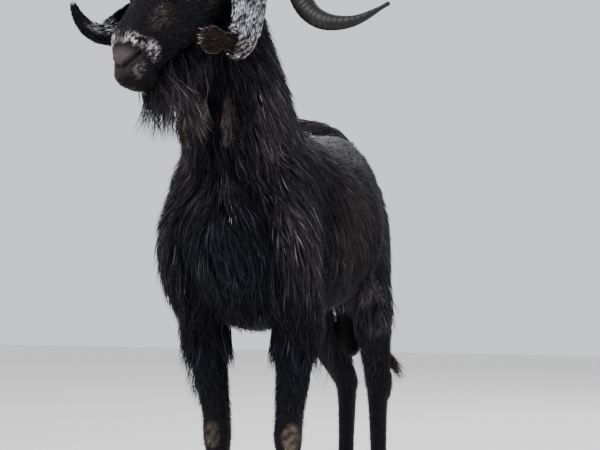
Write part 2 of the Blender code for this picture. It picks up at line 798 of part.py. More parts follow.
def grow(placed, cut_step, segments, name, shop, material):
    """Divide a growth at one ring: a stub that stays with the body, and its own node."""
    stub = bmesh.new()
    tube(stub, placed[:cut_step + 1], segments, 0.6, 0.0)
    point, side, front, back, tangent = placed[cut_step]
    first = (point + tangent * GAP, side, front, back, tangent)
    outer = bmesh.new()
    tube(outer, [first] + placed[cut_step + 1:], segments, 0.0, 0.8)
    node = finish_node(object_from(outer, name + " blank", shop["work"]), name, [],
                       shop["parts"], material)
    shop["trees"].append(node_tree(node))
    return object_from(stub, name + " stub", shop["work"])


def node_tree(node):
    """A search tree of a finished node, in the frame that the body is built in."""
    bm = bmesh.new()
    bm.from_mesh(node.data)
    bmesh.ops.translate(bm, verts=bm.verts, vec=-CENTRE_SHIFT)
    tree = BVHTree.FromBMesh(bm)
    bm.free()
    return tree


def ear_ring(point, tangent, outward, half_width, thickness, steps=EAR_STEPS):
    """One section of an ear: a curved leaf, hollow on its inner side."""
    across = tangent.cross(outward)
    cup = EAR_CUP * min(1.0, half_width / EAR_CUP_WIDTH)
    outer = []
    inner = []
    for step in range(steps + 1):
        angle = math.pi * step / steps
        side = across * math.cos(angle) * half_width
        bulge = math.sin(angle) * cup
        outer.append(point + side + outward * bulge)
        if 0 < step < steps:
            depth = bulge - thickness * (0.5 + 0.5 * math.sin(angle))
            inner.append(point + side * EAR_INNER_WIDTH + outward * depth)
    return outer + inner[::-1]


def leaf(bm, rings):
    """A closed body through rings that are lists of points."""
    loops = []
    for points in rings:
        verts = [bm.verts.new(point) for point in points]
        pairs = zip(verts, verts[1:] + verts[:1])
        loops.append([bm.edges.new(pair) for pair in pairs])
    for first, second in zip(loops, loops[1:]):
        bmesh.ops.bridge_loops(bm, edges=first + second)
    for loop in (loops[0], loops[-1]):
        bmesh.ops.contextual_create(bm, geom=loop)


def ear(side_name, sign, shop):
    """A hanging ear whose tip folds forward: its stub on the skull and its own node."""
    name = f"ear_{side_name}"
    line = EAR_LEFT if sign > 0 else EAR_RIGHT
    points = [Vector(row[0]) for row in line]
    middle = Vector(EAR_FACES[sign])
    sections = []
    outward = None
    for row, (point, tangent) in enumerate(zip(points, path_tangents(points))):
        if row <= EAR_FOLD_ROW:
            outward = point - middle
        outward = (outward - tangent * outward.dot(tangent)).normalized()
        thickness = EAR_THICKNESS * max(1, 4 - row)
        sections.append((point, tangent, outward, line[row][1], thickness))
    rings = [ear_ring(*section) for section in sections]
    stub = bmesh.new()
    leaf(stub, rings[:EAR_CUT_ROW + 1])
    point, tangent, outward, half_width, thickness = sections[EAR_CUT_ROW]
    first = ear_ring(point + tangent * GAP, tangent, outward, half_width, thickness)
    outer = bmesh.new()
    leaf(outer, [first] + rings[EAR_CUT_ROW + 1:])
    node = finish_node(object_from(outer, name + " blank", shop["work"]), name, [],
                       shop["parts"], shop["ear"])
    shop["trees"].append(node_tree(node))
    return object_from(stub, name + " stub", shop["work"])


def even_rings(rows):
    """Placed rings of rows of centre, half width and half depth."""
    return placed_rings([(place, width, depth, depth) for place, width, depth in rows])


def claw(kind, side_name, sign, which, shop):
    """One claw of a cloven hoof, flat underneath and cut along the coronet."""
    foot = foot_place(kind, sign)
    front = foot.y - TOE_TO_FOOT
    rings = []
    for share, width in CLAW_WIDTHS:
        x = foot.x + which * (CLAW_SIDE - TOE_IN * (1.0 - share))
        centre = Vector((x, front + CLAW_LENGTH * share, 0.0))
        section = []
        for across, height in CLAW_SECTION:
            slope = CLAW_SLOPE * height * (1.0 - share)
            section.append(centre + Vector((across * CLAW_HALF_WIDTH * width, slope, height)))
        rings.append(section)
    bm = bmesh.new()
    leaf(bm, rings)
    place, normal = coronet_cut(foot)
    position = "outer" if which == sign else "inner"
    name = f"hoof_{kind}_{side_name}_{position}"
    finish_node(object_from(bm, name + " blank", shop["work"]), name, [(place, -normal)],
                shop["parts"], shop["hoof"])


def eye_centre(sign, tree):
    """An eyeball's centre, sunk so that only its front shows, and the way it looks."""
    ahead, out, upward = EYE_LOOKS
    way = (HEAD_FORWARD * ahead + HEAD_SIDE * sign * out + HEAD_UP * upward).normalized()
    hit = tree.ray_cast(head_point(EYE_ALONG, 0.0, EYE_UP), way)[0]
    return hit - way * (EYE_RADIUS - EYE_SHOWS), way


def lid(centre, outward, sizes, work):
    """An eyelid: a thick rim that arches over or under the eyeball."""
    arch, thickness = sizes
    along = (HEAD_FORWARD - outward * HEAD_FORWARD.dot(outward)).normalized()
    rise = (HEAD_UP - outward * HEAD_UP.dot(outward)).normalized()
    reach = EYE_RADIUS + LID_REACH
    rows = []
    for step in range(LID_STEPS + 1):
        angle = math.pi * step / LID_STEPS
        flat = along * math.cos(angle) * LID_HALF_LENGTH + rise * math.sin(angle) * arch
        depth = math.sqrt(reach * reach - flat.length_squared)
        size = thickness * (LID_TAPER + (1.0 - LID_TAPER) * math.sin(angle))
        rows.append((centre + flat + outward * depth, size, size, size))
    bm = bmesh.new()
    loft(bm, rows, 5, outward, 0.0, 0.0)
    return object_from(bm, "lid", work)


def nostril(sign, tree, work):
    """The slit of a nostril, as a solid to carve with."""
    width, depth = NOSTRIL_SIZE
    rows = []
    for side, rise, turn in NOSTRIL_ROWS:
        way = (HEAD_FORWARD + HEAD_SIDE * sign * turn).normalized()
        place = tree.ray_cast(head_point(NOSTRIL_ALONG, side * sign * NOSTRIL_SPREAD, rise),
                              way)[0]
        rows.append((place - way * NOSTRIL_SINK, width, depth, depth))
    bm = bmesh.new()
    loft(bm, rows, 6, HEAD_FORWARD, 0.6, 0.6)
    return object_from(bm, "nostril", work)


def mouth_line(sign, tree, work):
    """The line of the mouth along one side, as a thin tube to carve with."""
    width, depth = MOUTH_SIZE
    rows = []
    for along, rise, turn in MOUTH_ROWS:
        way = (HEAD_FORWARD + HEAD_SIDE * sign * turn).normalized()
        place = tree.ray_cast(head_point(along, 0.0, rise), way)[0]
        rows.append((place, width, depth, depth))
    bm = bmesh.new()
    loft(bm, rows, 5, HEAD_FORWARD + HEAD_SIDE * sign, 0.0, 0.0)
    return object_from(bm, "mouth line", work)


def lock_rows(tree, root, normal, lie, length, half_width, lift):
    """The centre, half width and thickness of a lock at each step from its sunk root."""
    way = (lie - normal * lie.dot(normal)).normalized()
    sunk = root - normal * LOCK_SINK - way * half_width * 0.5
    rows = [(sunk, half_width * LOCK_WIDTHS[0], LOCK_THICKNESS[0], LOCK_THICKNESS[0])]
    steps = len(LOCK_WIDTHS) - 1
    place = root
    for step in range(1, steps + 1):
        near, near_normal = tree.find_nearest(place + way * length / steps)[:2]
        way = (lie - near_normal * lie.dot(near_normal)).normalized()
        place = near
        spot = near + near_normal * (LOCK_RISE + lift * step / steps)
        thickness = LOCK_THICKNESS[step]
        rows.append((spot, half_width * LOCK_WIDTHS[step], thickness, thickness))
    return rows


def keeps_clear(rows, planes, obstacles):
    """Whether a lock stays inside its own part and off the nodes beside it."""
    for spot, half_width, _, _ in rows:
        for point, normal in planes:
            if (spot - point).dot(normal.normalized()) < GAP:
                return False
        for tree in obstacles:
            if tree.find_nearest(spot)[3] < half_width + LOCK_CLEARANCE:
                return False
    return True


def square_to(direction, *axes):
    """A direction made square to some axes that are square to each other."""
    for axis in axes:
        direction = direction - axis * direction.dot(axis)
    return direction.normalized()


def zone_locks(zone, tree, planes, draw, shop):
    """The locks of one zone of the coat, in staggered rows, each a little different."""
    start, end, facing, rows, around, first, last, length, half_width, lift, lie = zone
    start = Vector(start)
    axis = Vector(end) - start
    facing = square_to(Vector(facing), axis.normalized())
    sideways = square_to(SIDEWAYS, axis.normalized(), facing)
    made = []
    for row in range(rows):
        for place in range(around):
            share = (row + 0.5 + draw.uniform(-LOCK_SPREAD, LOCK_SPREAD)) / rows
            turn = (place + 0.25 + 0.5 * (row % 2) + draw.uniform(-LOCK_LEAN, LOCK_LEAN)) / around
            angle = math.radians(first + (last - first) * turn)
            way = facing * math.cos(angle) + sideways * math.sin(angle)
            root, normal = tree.ray_cast(start + axis * share, way)[:2]
            leaning = Vector(lie) + Vector((draw.uniform(-LOCK_LEAN, LOCK_LEAN),
                                            draw.uniform(-LOCK_LEAN, LOCK_LEAN), 0.0))
            sizes = [size * draw.uniform(1.0 - LOCK_SPREAD, 1.0 + LOCK_SPREAD)
                     for size in (length, half_width, lift)]
            if root is not None:
                made += fitted_lock(tree, root, normal, leaning, sizes, planes, shop)
    return made


def fitted_lock(tree, root, normal, lie, sizes, planes, shop):
    """A list with one lock, as long as there is room for it, or an empty list."""
    length, half_width, lift = sizes
    for share in LOCK_SHARES:
        rows = lock_rows(tree, root, normal, lie, length * share, half_width, lift)
        if keeps_clear(rows, planes, shop["trees"]):
            bm = bmesh.new()
            loft(bm, rows, 4, normal.cross(lie), 0.0, 0.0)
            return [object_from(bm, "lock", shop["work"])]
    return []


def sided_zone(zone, sign, shift=(0.0, 0.0, 0.0)):
    """A zone for one side of the goat, moved by the stance of that leg."""
    start, end, facing, rows, around, first, last, length, half_width, lift, lie = zone
    start = Vector((start[0] * sign, start[1], start[2])) + Vector(shift)
    end = Vector((end[0] * sign, end[1], end[2])) + Vector(shift)
    return (start, end, facing, rows, around, first * sign, last * sign, length, half_width,
            lift, lie)


def forelock_zone():
    """The tuft on the poll that falls over the forehead, as a zone in the head's frame."""
    start, end = FORELOCK_ALONG
    return (head_point(start, 0.0, 0.0), head_point(end, 0.0, 0.0), HEAD_UP, *FORELOCK,
            HEAD_FORWARD)


def beard(tree, work):
    """The chin's beard and the fuller one along the jaw, as hanging locks."""
    draw = random.Random(SEED + 7)
    made = []
    for along, sides, length, half_width in BEARD_ROWS:
        for side in sides:
            way = (HEAD_SIDE * side * BEARD_SPREAD - HEAD_UP).normalized()
            hit, normal = tree.ray_cast(head_point(along, side, BEARD_START), way)[:2]
            lie = DOWN + Vector((draw.uniform(-0.25, 0.25), draw.uniform(0.0, 0.45), 0.0))
            sizes = (length * draw.uniform(0.75, 1.15), half_width * draw.uniform(0.8, 1.2))
            if hit is not None:
                made.append(hanging_lock(hit, normal, lie, *sizes, work))
    return made


def hanging_lock(root, normal, lie, length, half_width, work):
    """A lock that leaves the skin and hangs free, with a slight curve."""
    lie = lie.normalized()
    steps = len(BEARD_WIDTHS) - 1
    place = root - normal * BEARD_SINK
    rows = []
    for step in range(steps + 1):
        thickness = BEARD_THICKNESS[step]
        rows.append((place, half_width * BEARD_WIDTHS[step], thickness, thickness))
        swing = HEAD_FORWARD * BEARD_SWING * (0.5 - step / steps)
        place = place + (lie + swing) * length / steps
    bm = bmesh.new()
    loft(bm, rows, 4, lie.cross(HEAD_FORWARD), 0.0, 0.0)
    return object_from(bm, "beard lock", work)


def new_shop():
    """The collections, the materials and the search trees of the nodes to keep clear of."""
    return {
        "parts": new_collection("anatolian black goat"),
        "work": new_collection("cutters and blanks"),
        "coat": new_material("black coat", (0.012, 0.012, 0.014), 0.6),
        "horn": new_material("dark horn", (0.03, 0.028, 0.026), 0.45),
        "hoof": new_material("hoof", (0.035, 0.028, 0.022), 0.5),
        "ear": new_material("speckled ear", (0.10, 0.10, 0.10), 0.7),
        "eye": new_material("eye", (0.20, 0.10, 0.03), 0.1),
        "skin": new_material("dark skin", (0.02, 0.015, 0.015), 0.55),
        "trees": [],
    }


def body_planes():
    """The planes around each part of the body; their normals point into the part."""
    to_head, head_way = head_cut()
    shoulder_at = Vector((0.0, SHOULDER_CUT_Y, 0.0))
    loin_at = Vector((0.0, LOIN_CUT_Y, 0.0))
    back_way = Vector((0.0, 1.0, 0.0))
    leg_at = Vector((0.0, 0.0, LEG_CUT_Z))
    knee_at = Vector((0.0, 0.0, KNEE_CUT_Z))
    hock_at = Vector((0.0, 0.0, HOCK_CUT_Z))
    return {
        "head": [(to_head, head_way)],
        "neck": [(to_head, -head_way), (NECK_CUT_POINT, NECK_CUT_NORMAL)],
        "chest": [(NECK_CUT_POINT, -NECK_CUT_NORMAL), (shoulder_at, -back_way),
                  (leg_at, UP)],
        "barrel": [(shoulder_at, back_way), (loin_at, -back_way), (leg_at, UP)],
        "rump": [(loin_at, back_way), (THIGH_CUT_POINT, THIGH_CUT_NORMAL)],
        "thigh": [(loin_at, back_way), (THIGH_CUT_POINT, -THIGH_CUT_NORMAL), (leg_at, UP)],
        "foreleg upper": [(leg_at, DOWN), (knee_at, UP)],
        "foreleg lower": [(knee_at, DOWN)],
        "hindleg upper": [(leg_at, DOWN), (hock_at, UP)],
        "hindleg lower": [(hock_at, DOWN)],
    }


def build_head(whole, tree, planes, shop):
    """The head with its beard and forelock, and the horns, ears and eyes that it carries."""
    core = flesh_piece(whole, planes, HEAD_FACES, 0.0, shop["work"],
                       head_point(0.10, 0.0, 0.0))
    stubs = beard(tree, shop["work"])
    cutters = []
    for side_name, sign in SIDES:
        stubs.append(grow(horn_rings(sign), HORN_CUT_STEP, HORN_SIDES, f"horn_{side_name}",
                          shop, shop["horn"]))
        stubs.append(ear(side_name, sign, shop))
        centre, outward = eye_centre(sign, tree)
        stubs.append(lid(centre, outward, UPPER_LID, shop["work"]))
        stubs.append(lid(centre, outward, LOWER_LID, shop["work"]))
        eyeball = bmesh.new()
        ball(eyeball, centre, EYE_RADIUS, segments=12)
        finish_node(object_from(eyeball, "eyeball", shop["work"]), f"eye_{side_name}", [],
                    shop["parts"], shop["eye"])
        socket = bmesh.new()
        ball(socket, centre, EYE_RADIUS + GAP, segments=12)
        cutters.append(object_from(socket, "socket", shop["work"]))
        cutters.append(nostril(sign, tree, shop["work"]))
        cutters.append(mouth_line(sign, tree, shop["work"]))
    stubs += zone_locks(forelock_zone(), tree, planes, random.Random(SEED + 1), shop)
    fuse(core, stubs, "head")
    carve(core, cutters)
    finish_node(core, "head", planes, shop["parts"], shop["coat"])


def build_trunk(whole, tree, planes, shop):
    """Neck, chest, barrel and rump, with the wattles, tail, sheath and scrotum."""
    stubs = {"neck": [], "chest": [], "barrel": [], "rump": []}
    for side_name, sign in SIDES:
        rows = [((x * sign, y, z), width, depth) for (x, y, z), width, depth in WATTLE]
        stubs["neck"].append(grow(even_rings(rows), 1, 7, f"wattle_{side_name}", shop,
                                  shop["coat"]))
    wide, deep = TAIL_SECTION
    tail_rows = [(place, radius * wide, radius * deep) for place, radius in TAIL]
    for name, rows, material in (("tail", tail_rows, "coat"), ("scrotum", SCROTUM, "skin"),
                                 ("sheath", SHEATH, "coat")):
        stubs["rump"].append(grow(even_rings(rows), 1, 10, name, shop, shop[material]))
    zones = {
        "neck": [NECK_ZONE],
        "chest": [CHEST_ZONE, BRISKET_ZONE],
        "barrel": [sided_zone(BARREL_ZONE, sign) for _, sign in SIDES],
        "rump": [sided_zone(RUMP_ZONE, sign) for _, sign in SIDES],
    }
    for name, faces in TRUNK_FACES.items():
        draw = random.Random(SEED + faces)
        core = flesh_piece(whole, planes[name], faces, CORE_DEPTH[name], shop["work"])
        locks = stubs[name]
        for zone in zones[name]:
            locks += zone_locks(zone, tree, planes[name], draw, shop)
        fuse(core, locks, name)
        finish_node(core, name, planes[name], shop["parts"], shop["coat"])


def build_legs(whole, tree, planes, shop):
    """Thighs, the upper and lower halves of the legs, and the claws."""
    for side_name, sign in SIDES:
        stance = (HINDLEG_INWARD[sign] * sign * THIGH_FOLLOWS, STIFLE_BACK[sign], 0.0)
        x, y, z = THIGH_INSIDE
        near = Vector((x * sign, y, z)) + Vector(stance)
        zone = sided_zone(THIGH_ZONE, sign, stance)
        leg_part("thigh", f"thigh_{side_name}", zone, near, whole, tree, planes, shop)

        foot = foot_place("foreleg", sign)
        across = FORELEG_INWARD[sign] * LEG_FOLLOWS + FORELEG_BOW[sign] * BOW_FOLLOWS
        stance = (across * sign, 0.0, 0.0)
        zone = sided_zone(FOREARM_ZONE, sign, stance)
        leg_part("foreleg upper", f"foreleg_{side_name}_upper", zone, foot + ABOVE_FOOT, whole,
                 tree, planes, shop)
        leg_part("foreleg lower", f"foreleg_{side_name}_lower", None, foot + ABOVE_FOOT, whole,
                 tree, planes, shop, foot)

        foot = foot_place("hindleg", sign)
        upper, lower = GASKIN_FOLLOWS
        stance = (HINDLEG_INWARD[sign] * sign * LEG_FOLLOWS,
                  upper * STIFLE_BACK[sign] + lower * HINDLEG_BACK[sign], 0.0)
        zone = sided_zone(GASKIN_ZONE, sign, stance)
        leg_part("hindleg upper", f"hindleg_{side_name}_upper", zone, foot + ABOVE_FOOT, whole,
                 tree, planes, shop)
        leg_part("hindleg lower", f"hindleg_{side_name}_lower", None, foot + ABOVE_FOOT, whole,
                 tree, planes, shop, foot)
        for kind in ("foreleg", "hindleg"):
            for which in (1, -1):
                claw(kind, side_name, sign, which, shop)


def leg_part(kind, name, zone, near, whole, tree, planes, shop, foot=None):
    """One length of a leg, with its locks if it has a zone, down to the coronet of a foot."""
    around = planes[kind] + ([coronet_cut(foot)] if foot else [])
    depth = CORE_DEPTH["leg"] if zone else 0.0
    core = flesh_piece(whole, around, LEG_FACES[kind], depth, shop["work"], near)
    if zone:
        draw = random.Random(SEED + len(name))
        fuse(core, zone_locks(zone, tree, around, draw, shop), name)
    finish_node(core, name, around, shop["parts"], shop["coat"])


def build():
    """Every node of the goat."""
    clear_scene()
    shop = new_shop()
    flesh = body_flesh(shop["work"])
    whole = object_from(bmesh_of(flesh), "whole flesh", shop["work"])
    drop_object(flesh)
    bm = bmesh_of(whole)
    tree = BVHTree.FromBMesh(bm)
    bm.free()
    planes = body_planes()
    build_head(whole, tree, planes["head"], shop)
    build_trunk(whole, tree, planes, shop)
    build_legs(whole, tree, planes, shop)
    drop_object(whole)


build()
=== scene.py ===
import math

import bmesh
import bpy
import numpy as np
from mathutils import Matrix, Vector
from mathutils.bvhtree import BVHTree
from mathutils.kdtree import KDTree


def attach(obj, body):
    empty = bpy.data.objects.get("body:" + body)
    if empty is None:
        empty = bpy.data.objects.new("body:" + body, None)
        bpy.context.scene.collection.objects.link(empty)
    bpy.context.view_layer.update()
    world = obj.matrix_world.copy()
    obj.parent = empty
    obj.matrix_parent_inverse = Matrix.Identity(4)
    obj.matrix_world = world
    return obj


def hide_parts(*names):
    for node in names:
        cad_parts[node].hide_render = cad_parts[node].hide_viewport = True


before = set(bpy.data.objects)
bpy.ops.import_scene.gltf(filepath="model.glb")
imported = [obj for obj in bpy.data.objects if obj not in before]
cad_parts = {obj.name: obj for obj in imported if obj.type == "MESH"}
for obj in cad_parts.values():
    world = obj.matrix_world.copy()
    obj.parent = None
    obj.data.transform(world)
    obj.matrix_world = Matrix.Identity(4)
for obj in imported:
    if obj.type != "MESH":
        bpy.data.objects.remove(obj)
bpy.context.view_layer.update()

# Anatolian black goat: one skin, a coat of tufts, and finished horns, ears, eyes and hooves.
# Every piece is modelled in the frame that part.py works in, then moved by CENTRE_SHIFT.

SEED = 41

# Shift that puts the middle of the whole goat's box at x = 0 and y = 0
CENTRE_SHIFT = Vector((-0.0213, 0.0198, 0.0))

# Rounded end of a tube: how far out each of its rings lies, and its size
ROUNDED_RINGS = ((0.55, 0.72), (0.90, 0.30))

# Torso sections: y, height of the widest level, half width, rise above it, drop below it
TORSO = (
    (-0.338, 0.545, 0.050, 0.062, 0.075),
    (-0.308, 0.558, 0.088, 0.108, 0.118),
    (-0.255, 0.570, 0.114, 0.160, 0.142),
    (-0.190, 0.580, 0.122, 0.187, 0.152),
    (-0.100, 0.580, 0.126, 0.176, 0.150),
    (0.000, 0.580, 0.132, 0.168, 0.144),
    (0.090, 0.585, 0.130, 0.168, 0.138),
    (0.170, 0.592, 0.110, 0.172, 0.124),
    (0.230, 0.598, 0.094, 0.170, 0.102),
    (0.290, 0.600, 0.078, 0.162, 0.080),
    (0.340, 0.605, 0.062, 0.142, 0.066),
    (0.376, 0.622, 0.048, 0.108, 0.062),
    (0.402, 0.636, 0.030, 0.062, 0.044),
)

# Neck sections from the chest up: centre, half width, depth to the throat, depth to the nape
NECK = (
    ((0.000, -0.215, 0.640), 0.094, 0.112, 0.108),
    ((0.000, -0.262, 0.725), 0.086, 0.110, 0.102),
    ((-0.002, -0.296, 0.810), 0.073, 0.090, 0.087),
    ((-0.006, -0.320, 0.880), 0.061, 0.072, 0.072),
    ((-0.010, -0.338, 0.940), 0.053, 0.060, 0.060),
    ((-0.014, -0.356, 0.985), 0.044, 0.044, 0.048),
)

# Head frame: its base inside the skull, its heading from the chest's line, its axis's pitch
HEAD_BASE = Vector((-0.016, -0.363, 1.000))
HEAD_YAW = math.radians(23.0)
HEAD_PITCH = math.radians(40.0)

# Head sections: distance along the axis, half width, rise to the face, drop to the jaw
HEAD = (
    (-0.022, 0.042, 0.034, 0.042),
    (0.012, 0.054, 0.046, 0.062),
    (0.055, 0.058, 0.052, 0.078),
    (0.095, 0.056, 0.049, 0.082),
    (0.135, 0.048, 0.041, 0.078),
    (0.170, 0.040, 0.034, 0.072),
    (0.200, 0.035, 0.028, 0.068),
    (0.220, 0.033, 0.022, 0.066),
    (0.232, 0.028, 0.012, 0.058),
)

# Lips, chin, nose and its wings: place in the head frame, radius, and stretch to the side,
# forward and up; the wings lie on both sides
MUZZLE = (
    ((0.243, 0.000, -0.042), 0.0245, (1.42, 1.00, 0.95)),
    ((0.236, 0.000, -0.0585), 0.0215, (1.38, 1.00, 0.85)),
    ((0.238, 0.000, -0.022), 0.0195, (1.40, 1.00, 1.00)),
    ((0.220, 0.000, 0.001), 0.0180, (1.25, 0.80, 1.00)),
)
NOSE_WING = ((0.223, 0.015, -0.018), 0.0180, (1.0, 1.1, 1.0))

# Nostril slit and mouth line: where rays from inside the head leave it (along, rise and
# turn to the side for the mouth, side, rise and turn for the nostril)
NOSTRIL_ALONG = 0.215
NOSTRIL_ROWS = ((0.005, -0.021, 0.05), (0.005, -0.017, 0.34), (0.008, -0.015, 0.67),
                (0.010, -0.013, 1.28))
NOSTRIL_SPREAD = 0.6
MOUTH_ROWS = ((0.225, -0.038, 0.10), (0.220, -0.039, 0.55), (0.210, -0.041, 1.4),
              (0.197, -0.040, 5.0), (0.178, -0.035, 30.0), (0.160, -0.028, 30.0))

# Eyes, in the head frame: along the axis, above it, the ball's radius, how much of it shows,
# the bulge of the orbit, and the way from the head's middle on which the eye lies
EYE_ALONG = 0.124
EYE_UP = 0.016
EYE_RADIUS = 0.0125
EYE_SHOWS = 0.0045
ORBIT = (0.120, 0.034, 0.018)
ORBIT_RADIUS = 0.021
EYE_LOOKS = (0.18, 1.0, 0.10)

# Forelegs, left one: centre, half width, half depth; the right one stands a little nearer in
FORELEG = (
    ((0.078, -0.205, 0.470), 0.034, 0.052),
    ((0.074, -0.212, 0.410), 0.033, 0.044),
    ((0.072, -0.218, 0.340), 0.024, 0.031),
    ((0.068, -0.224, 0.280), 0.0215, 0.026),
    ((0.067, -0.226, 0.245), 0.0240, 0.026),
    ((0.067, -0.222, 0.205), 0.0185, 0.021),
    ((0.067, -0.219, 0.150), 0.0150, 0.0185),
    ((0.067, -0.217, 0.105), 0.0165, 0.0200),
    ((0.067, -0.217, 0.082), 0.0205, 0.0220),
    ((0.067, -0.229, 0.056), 0.0185, 0.0195),
    ((0.067, -0.240, 0.028), 0.0235, 0.0245),
)
FORELEG_INWARD = {1: 0.0, -1: -0.010}

# The right forearm bows outwards, most at one height
FORELEG_BOW = {1: 0.0, -1: 0.014}
BOW_HEIGHT = 0.395
BOW_REACH = 0.100

# Hind legs, left one: centre, half width, half depth; the right one stands further back
HINDLEG = (
    ((0.073, 0.238, 0.465), 0.033, 0.060),
    ((0.071, 0.258, 0.415), 0.030, 0.049),
    ((0.063, 0.298, 0.362), 0.0255, 0.037),
    ((0.056, 0.334, 0.315), 0.0220, 0.030),
    ((0.053, 0.353, 0.275), 0.0210, 0.027),
    ((0.053, 0.353, 0.232), 0.0180, 0.0220),
    ((0.054, 0.352, 0.165), 0.0160, 0.0190),
    ((0.055, 0.351, 0.108), 0.0165, 0.0200),
    ((0.055, 0.350, 0.083), 0.0205, 0.0220),
    ((0.055, 0.337, 0.056), 0.0185, 0.0195),
    ((0.055, 0.325, 0.028), 0.0235, 0.0245),
)
HINDLEG_BACK = {1: 0.0, -1: 0.105}
HINDLEG_INWARD = {1: 0.0, -1: -0.009}
STIFLE_BACK = {1: 0.0, -1: 0.050}

# Shoulder, thigh and heel bone of the left side: centre, half width, half depths to the
# front and back; the thigh's third value says how far each level follows the stifle back
SHOULDER = (
    ((0.052, -0.200, 0.735), 0.022, 0.050, 0.050),
    ((0.080, -0.245, 0.650), 0.034, 0.062, 0.062),
    ((0.090, -0.285, 0.565), 0.036, 0.052, 0.056),
    ((0.088, -0.275, 0.515), 0.035, 0.050, 0.052),
    ((0.080, -0.225, 0.460), 0.033, 0.050, 0.052),
)
THIGH = (
    ((0.036, 0.300, 0.665), 0.034, 0.056, 0.062, 0.0),
    ((0.048, 0.288, 0.605), 0.038, 0.078, 0.074, 0.3),
    ((0.057, 0.268, 0.545), 0.037, 0.082, 0.074, 0.6),
    ((0.067, 0.243, 0.480), 0.034, 0.070, 0.062, 1.0),
)
HEEL = (
    ((0.061, 0.338, 0.365), 0.008, 0.010, 0.010),
    ((0.061, 0.368, 0.325), 0.009, 0.011, 0.011),
    ((0.061, 0.381, 0.292), 0.013, 0.014, 0.014),
    ((0.061, 0.368, 0.262), 0.014, 0.016, 0.016),
)

# Claws of one foot: half the distance between them, half width and length of one, height and
# tilt of the coronet's cut, the toe's distance from the foot's middle and how far it turns in,
# the width along a claw, and the slope of its front
CLAW_SIDE = 0.0135
CLAW_HALF_WIDTH = 0.0110
CLAW_LENGTH = 0.062
CORONET_HEIGHT = 0.033
CORONET_TILT = math.radians(22.0)
TOE_TO_FOOT = 0.036
TOE_IN = 0.0022
CLAW_WIDTHS = ((0.0, 0.30), (0.14, 0.72), (0.45, 1.0), (0.80, 0.96), (1.0, 0.62))
CLAW_SLOPE = 0.42

# Cuts between the body's parts: a point of each plane and the direction to its far side
HEAD_CUT_POINT = (0.029, 0.0, -0.032)
HEAD_CUT_NORMAL = (0.50, 0.0, 0.866)
NECK_CUT_POINT = Vector((0.0, -0.262, 0.672))
NECK_CUT_NORMAL = Vector((0.0, -0.80, 0.60))
SHOULDER_CUT_Y = -0.090
LOIN_CUT_Y = 0.130
LEG_CUT_Z = 0.400

# Horns, left one: centre line as distances to the side, forward of and above the head's base
HORN_LINE = (
    (0.0260, 0.012, 0.000),
    (0.0300, 0.006, 0.058),
    (0.0440, -0.014, 0.092),
    (0.0800, -0.040, 0.104),
    (0.1120, -0.054, 0.072),
    (0.1280, -0.056, 0.002),
    (0.1440, -0.058, -0.066),
    (0.1820, -0.060, -0.102),
    (0.2360, -0.072, -0.108),
    (0.2840, -0.096, -0.084),
)
# Horn thickness at base and tip, its flatness, its steps and the one where it leaves the skull,
# height and pace of the growth rings, the taper, and the way its front faces
HORN_BASE_RADIUS = 0.0245
HORN_TIP_RADIUS = 0.0035
HORN_FLATTEN = 0.86
HORN_STEPS = 24
HORN_CUT_STEP = 3
HORN_RINGS = (0.035, 2.4)
HORN_TAPER = (3.0, 0.85)
HORN_FACING = (0.9, 0.25)

# Ears: centre line and half width there; the tips fold forward and up
EAR_LEFT = (
    ((0.020, -0.362, 1.002), 0.016),
    ((0.050, -0.372, 0.998), 0.021),
    ((0.067, -0.388, 0.968), 0.029),
    ((0.069, -0.411, 0.926), 0.034),
    ((0.069, -0.427, 0.882), 0.028),
    ((0.064, -0.443, 0.856), 0.023),
    ((0.055, -0.460, 0.862), 0.010),
    ((0.041, -0.485, 0.859), 0.021),
    ((0.029, -0.500, 0.862), 0.012),
)
EAR_RIGHT = (
    ((-0.042, -0.338, 1.002), 0.016),
    ((-0.070, -0.336, 0.998), 0.021),
    ((-0.094, -0.352, 0.963), 0.025),
    ((-0.114, -0.378, 0.929), 0.027),
    ((-0.137, -0.408, 0.900), 0.028),
    ((-0.159, -0.430, 0.886), 0.022),
    ((-0.182, -0.442, 0.892), 0.016),
    ((-0.201, -0.445, 0.911), 0.010),
    ((-0.212, -0.443, 0.931), 0.005),
)
# The outer side of each ear faces away from a point in the head
EAR_FACES = {1: (-0.100, -0.320, 0.930), -1: (-0.041, -0.423, 0.945)}
# Ear leaf: thickness, depth of its cup and the half width from which that is full, width of
# the inner side as a share of the outer, and the row where the tip folds
EAR_THICKNESS = 0.0045
EAR_CUP = 0.012
EAR_CUP_WIDTH = 0.030
EAR_INNER_WIDTH = 0.93
EAR_FOLD_ROW = 5

# Tail, raised over the rump and laid to the right: centre and radius
TAIL = (
    ((0.000, 0.335, 0.700), 0.018),
    ((-0.006, 0.376, 0.736), 0.018),
    ((-0.018, 0.386, 0.764), 0.017),
    ((-0.040, 0.380, 0.791), 0.015),
    ((-0.068, 0.358, 0.808), 0.012),
    ((-0.092, 0.330, 0.812), 0.007),
)

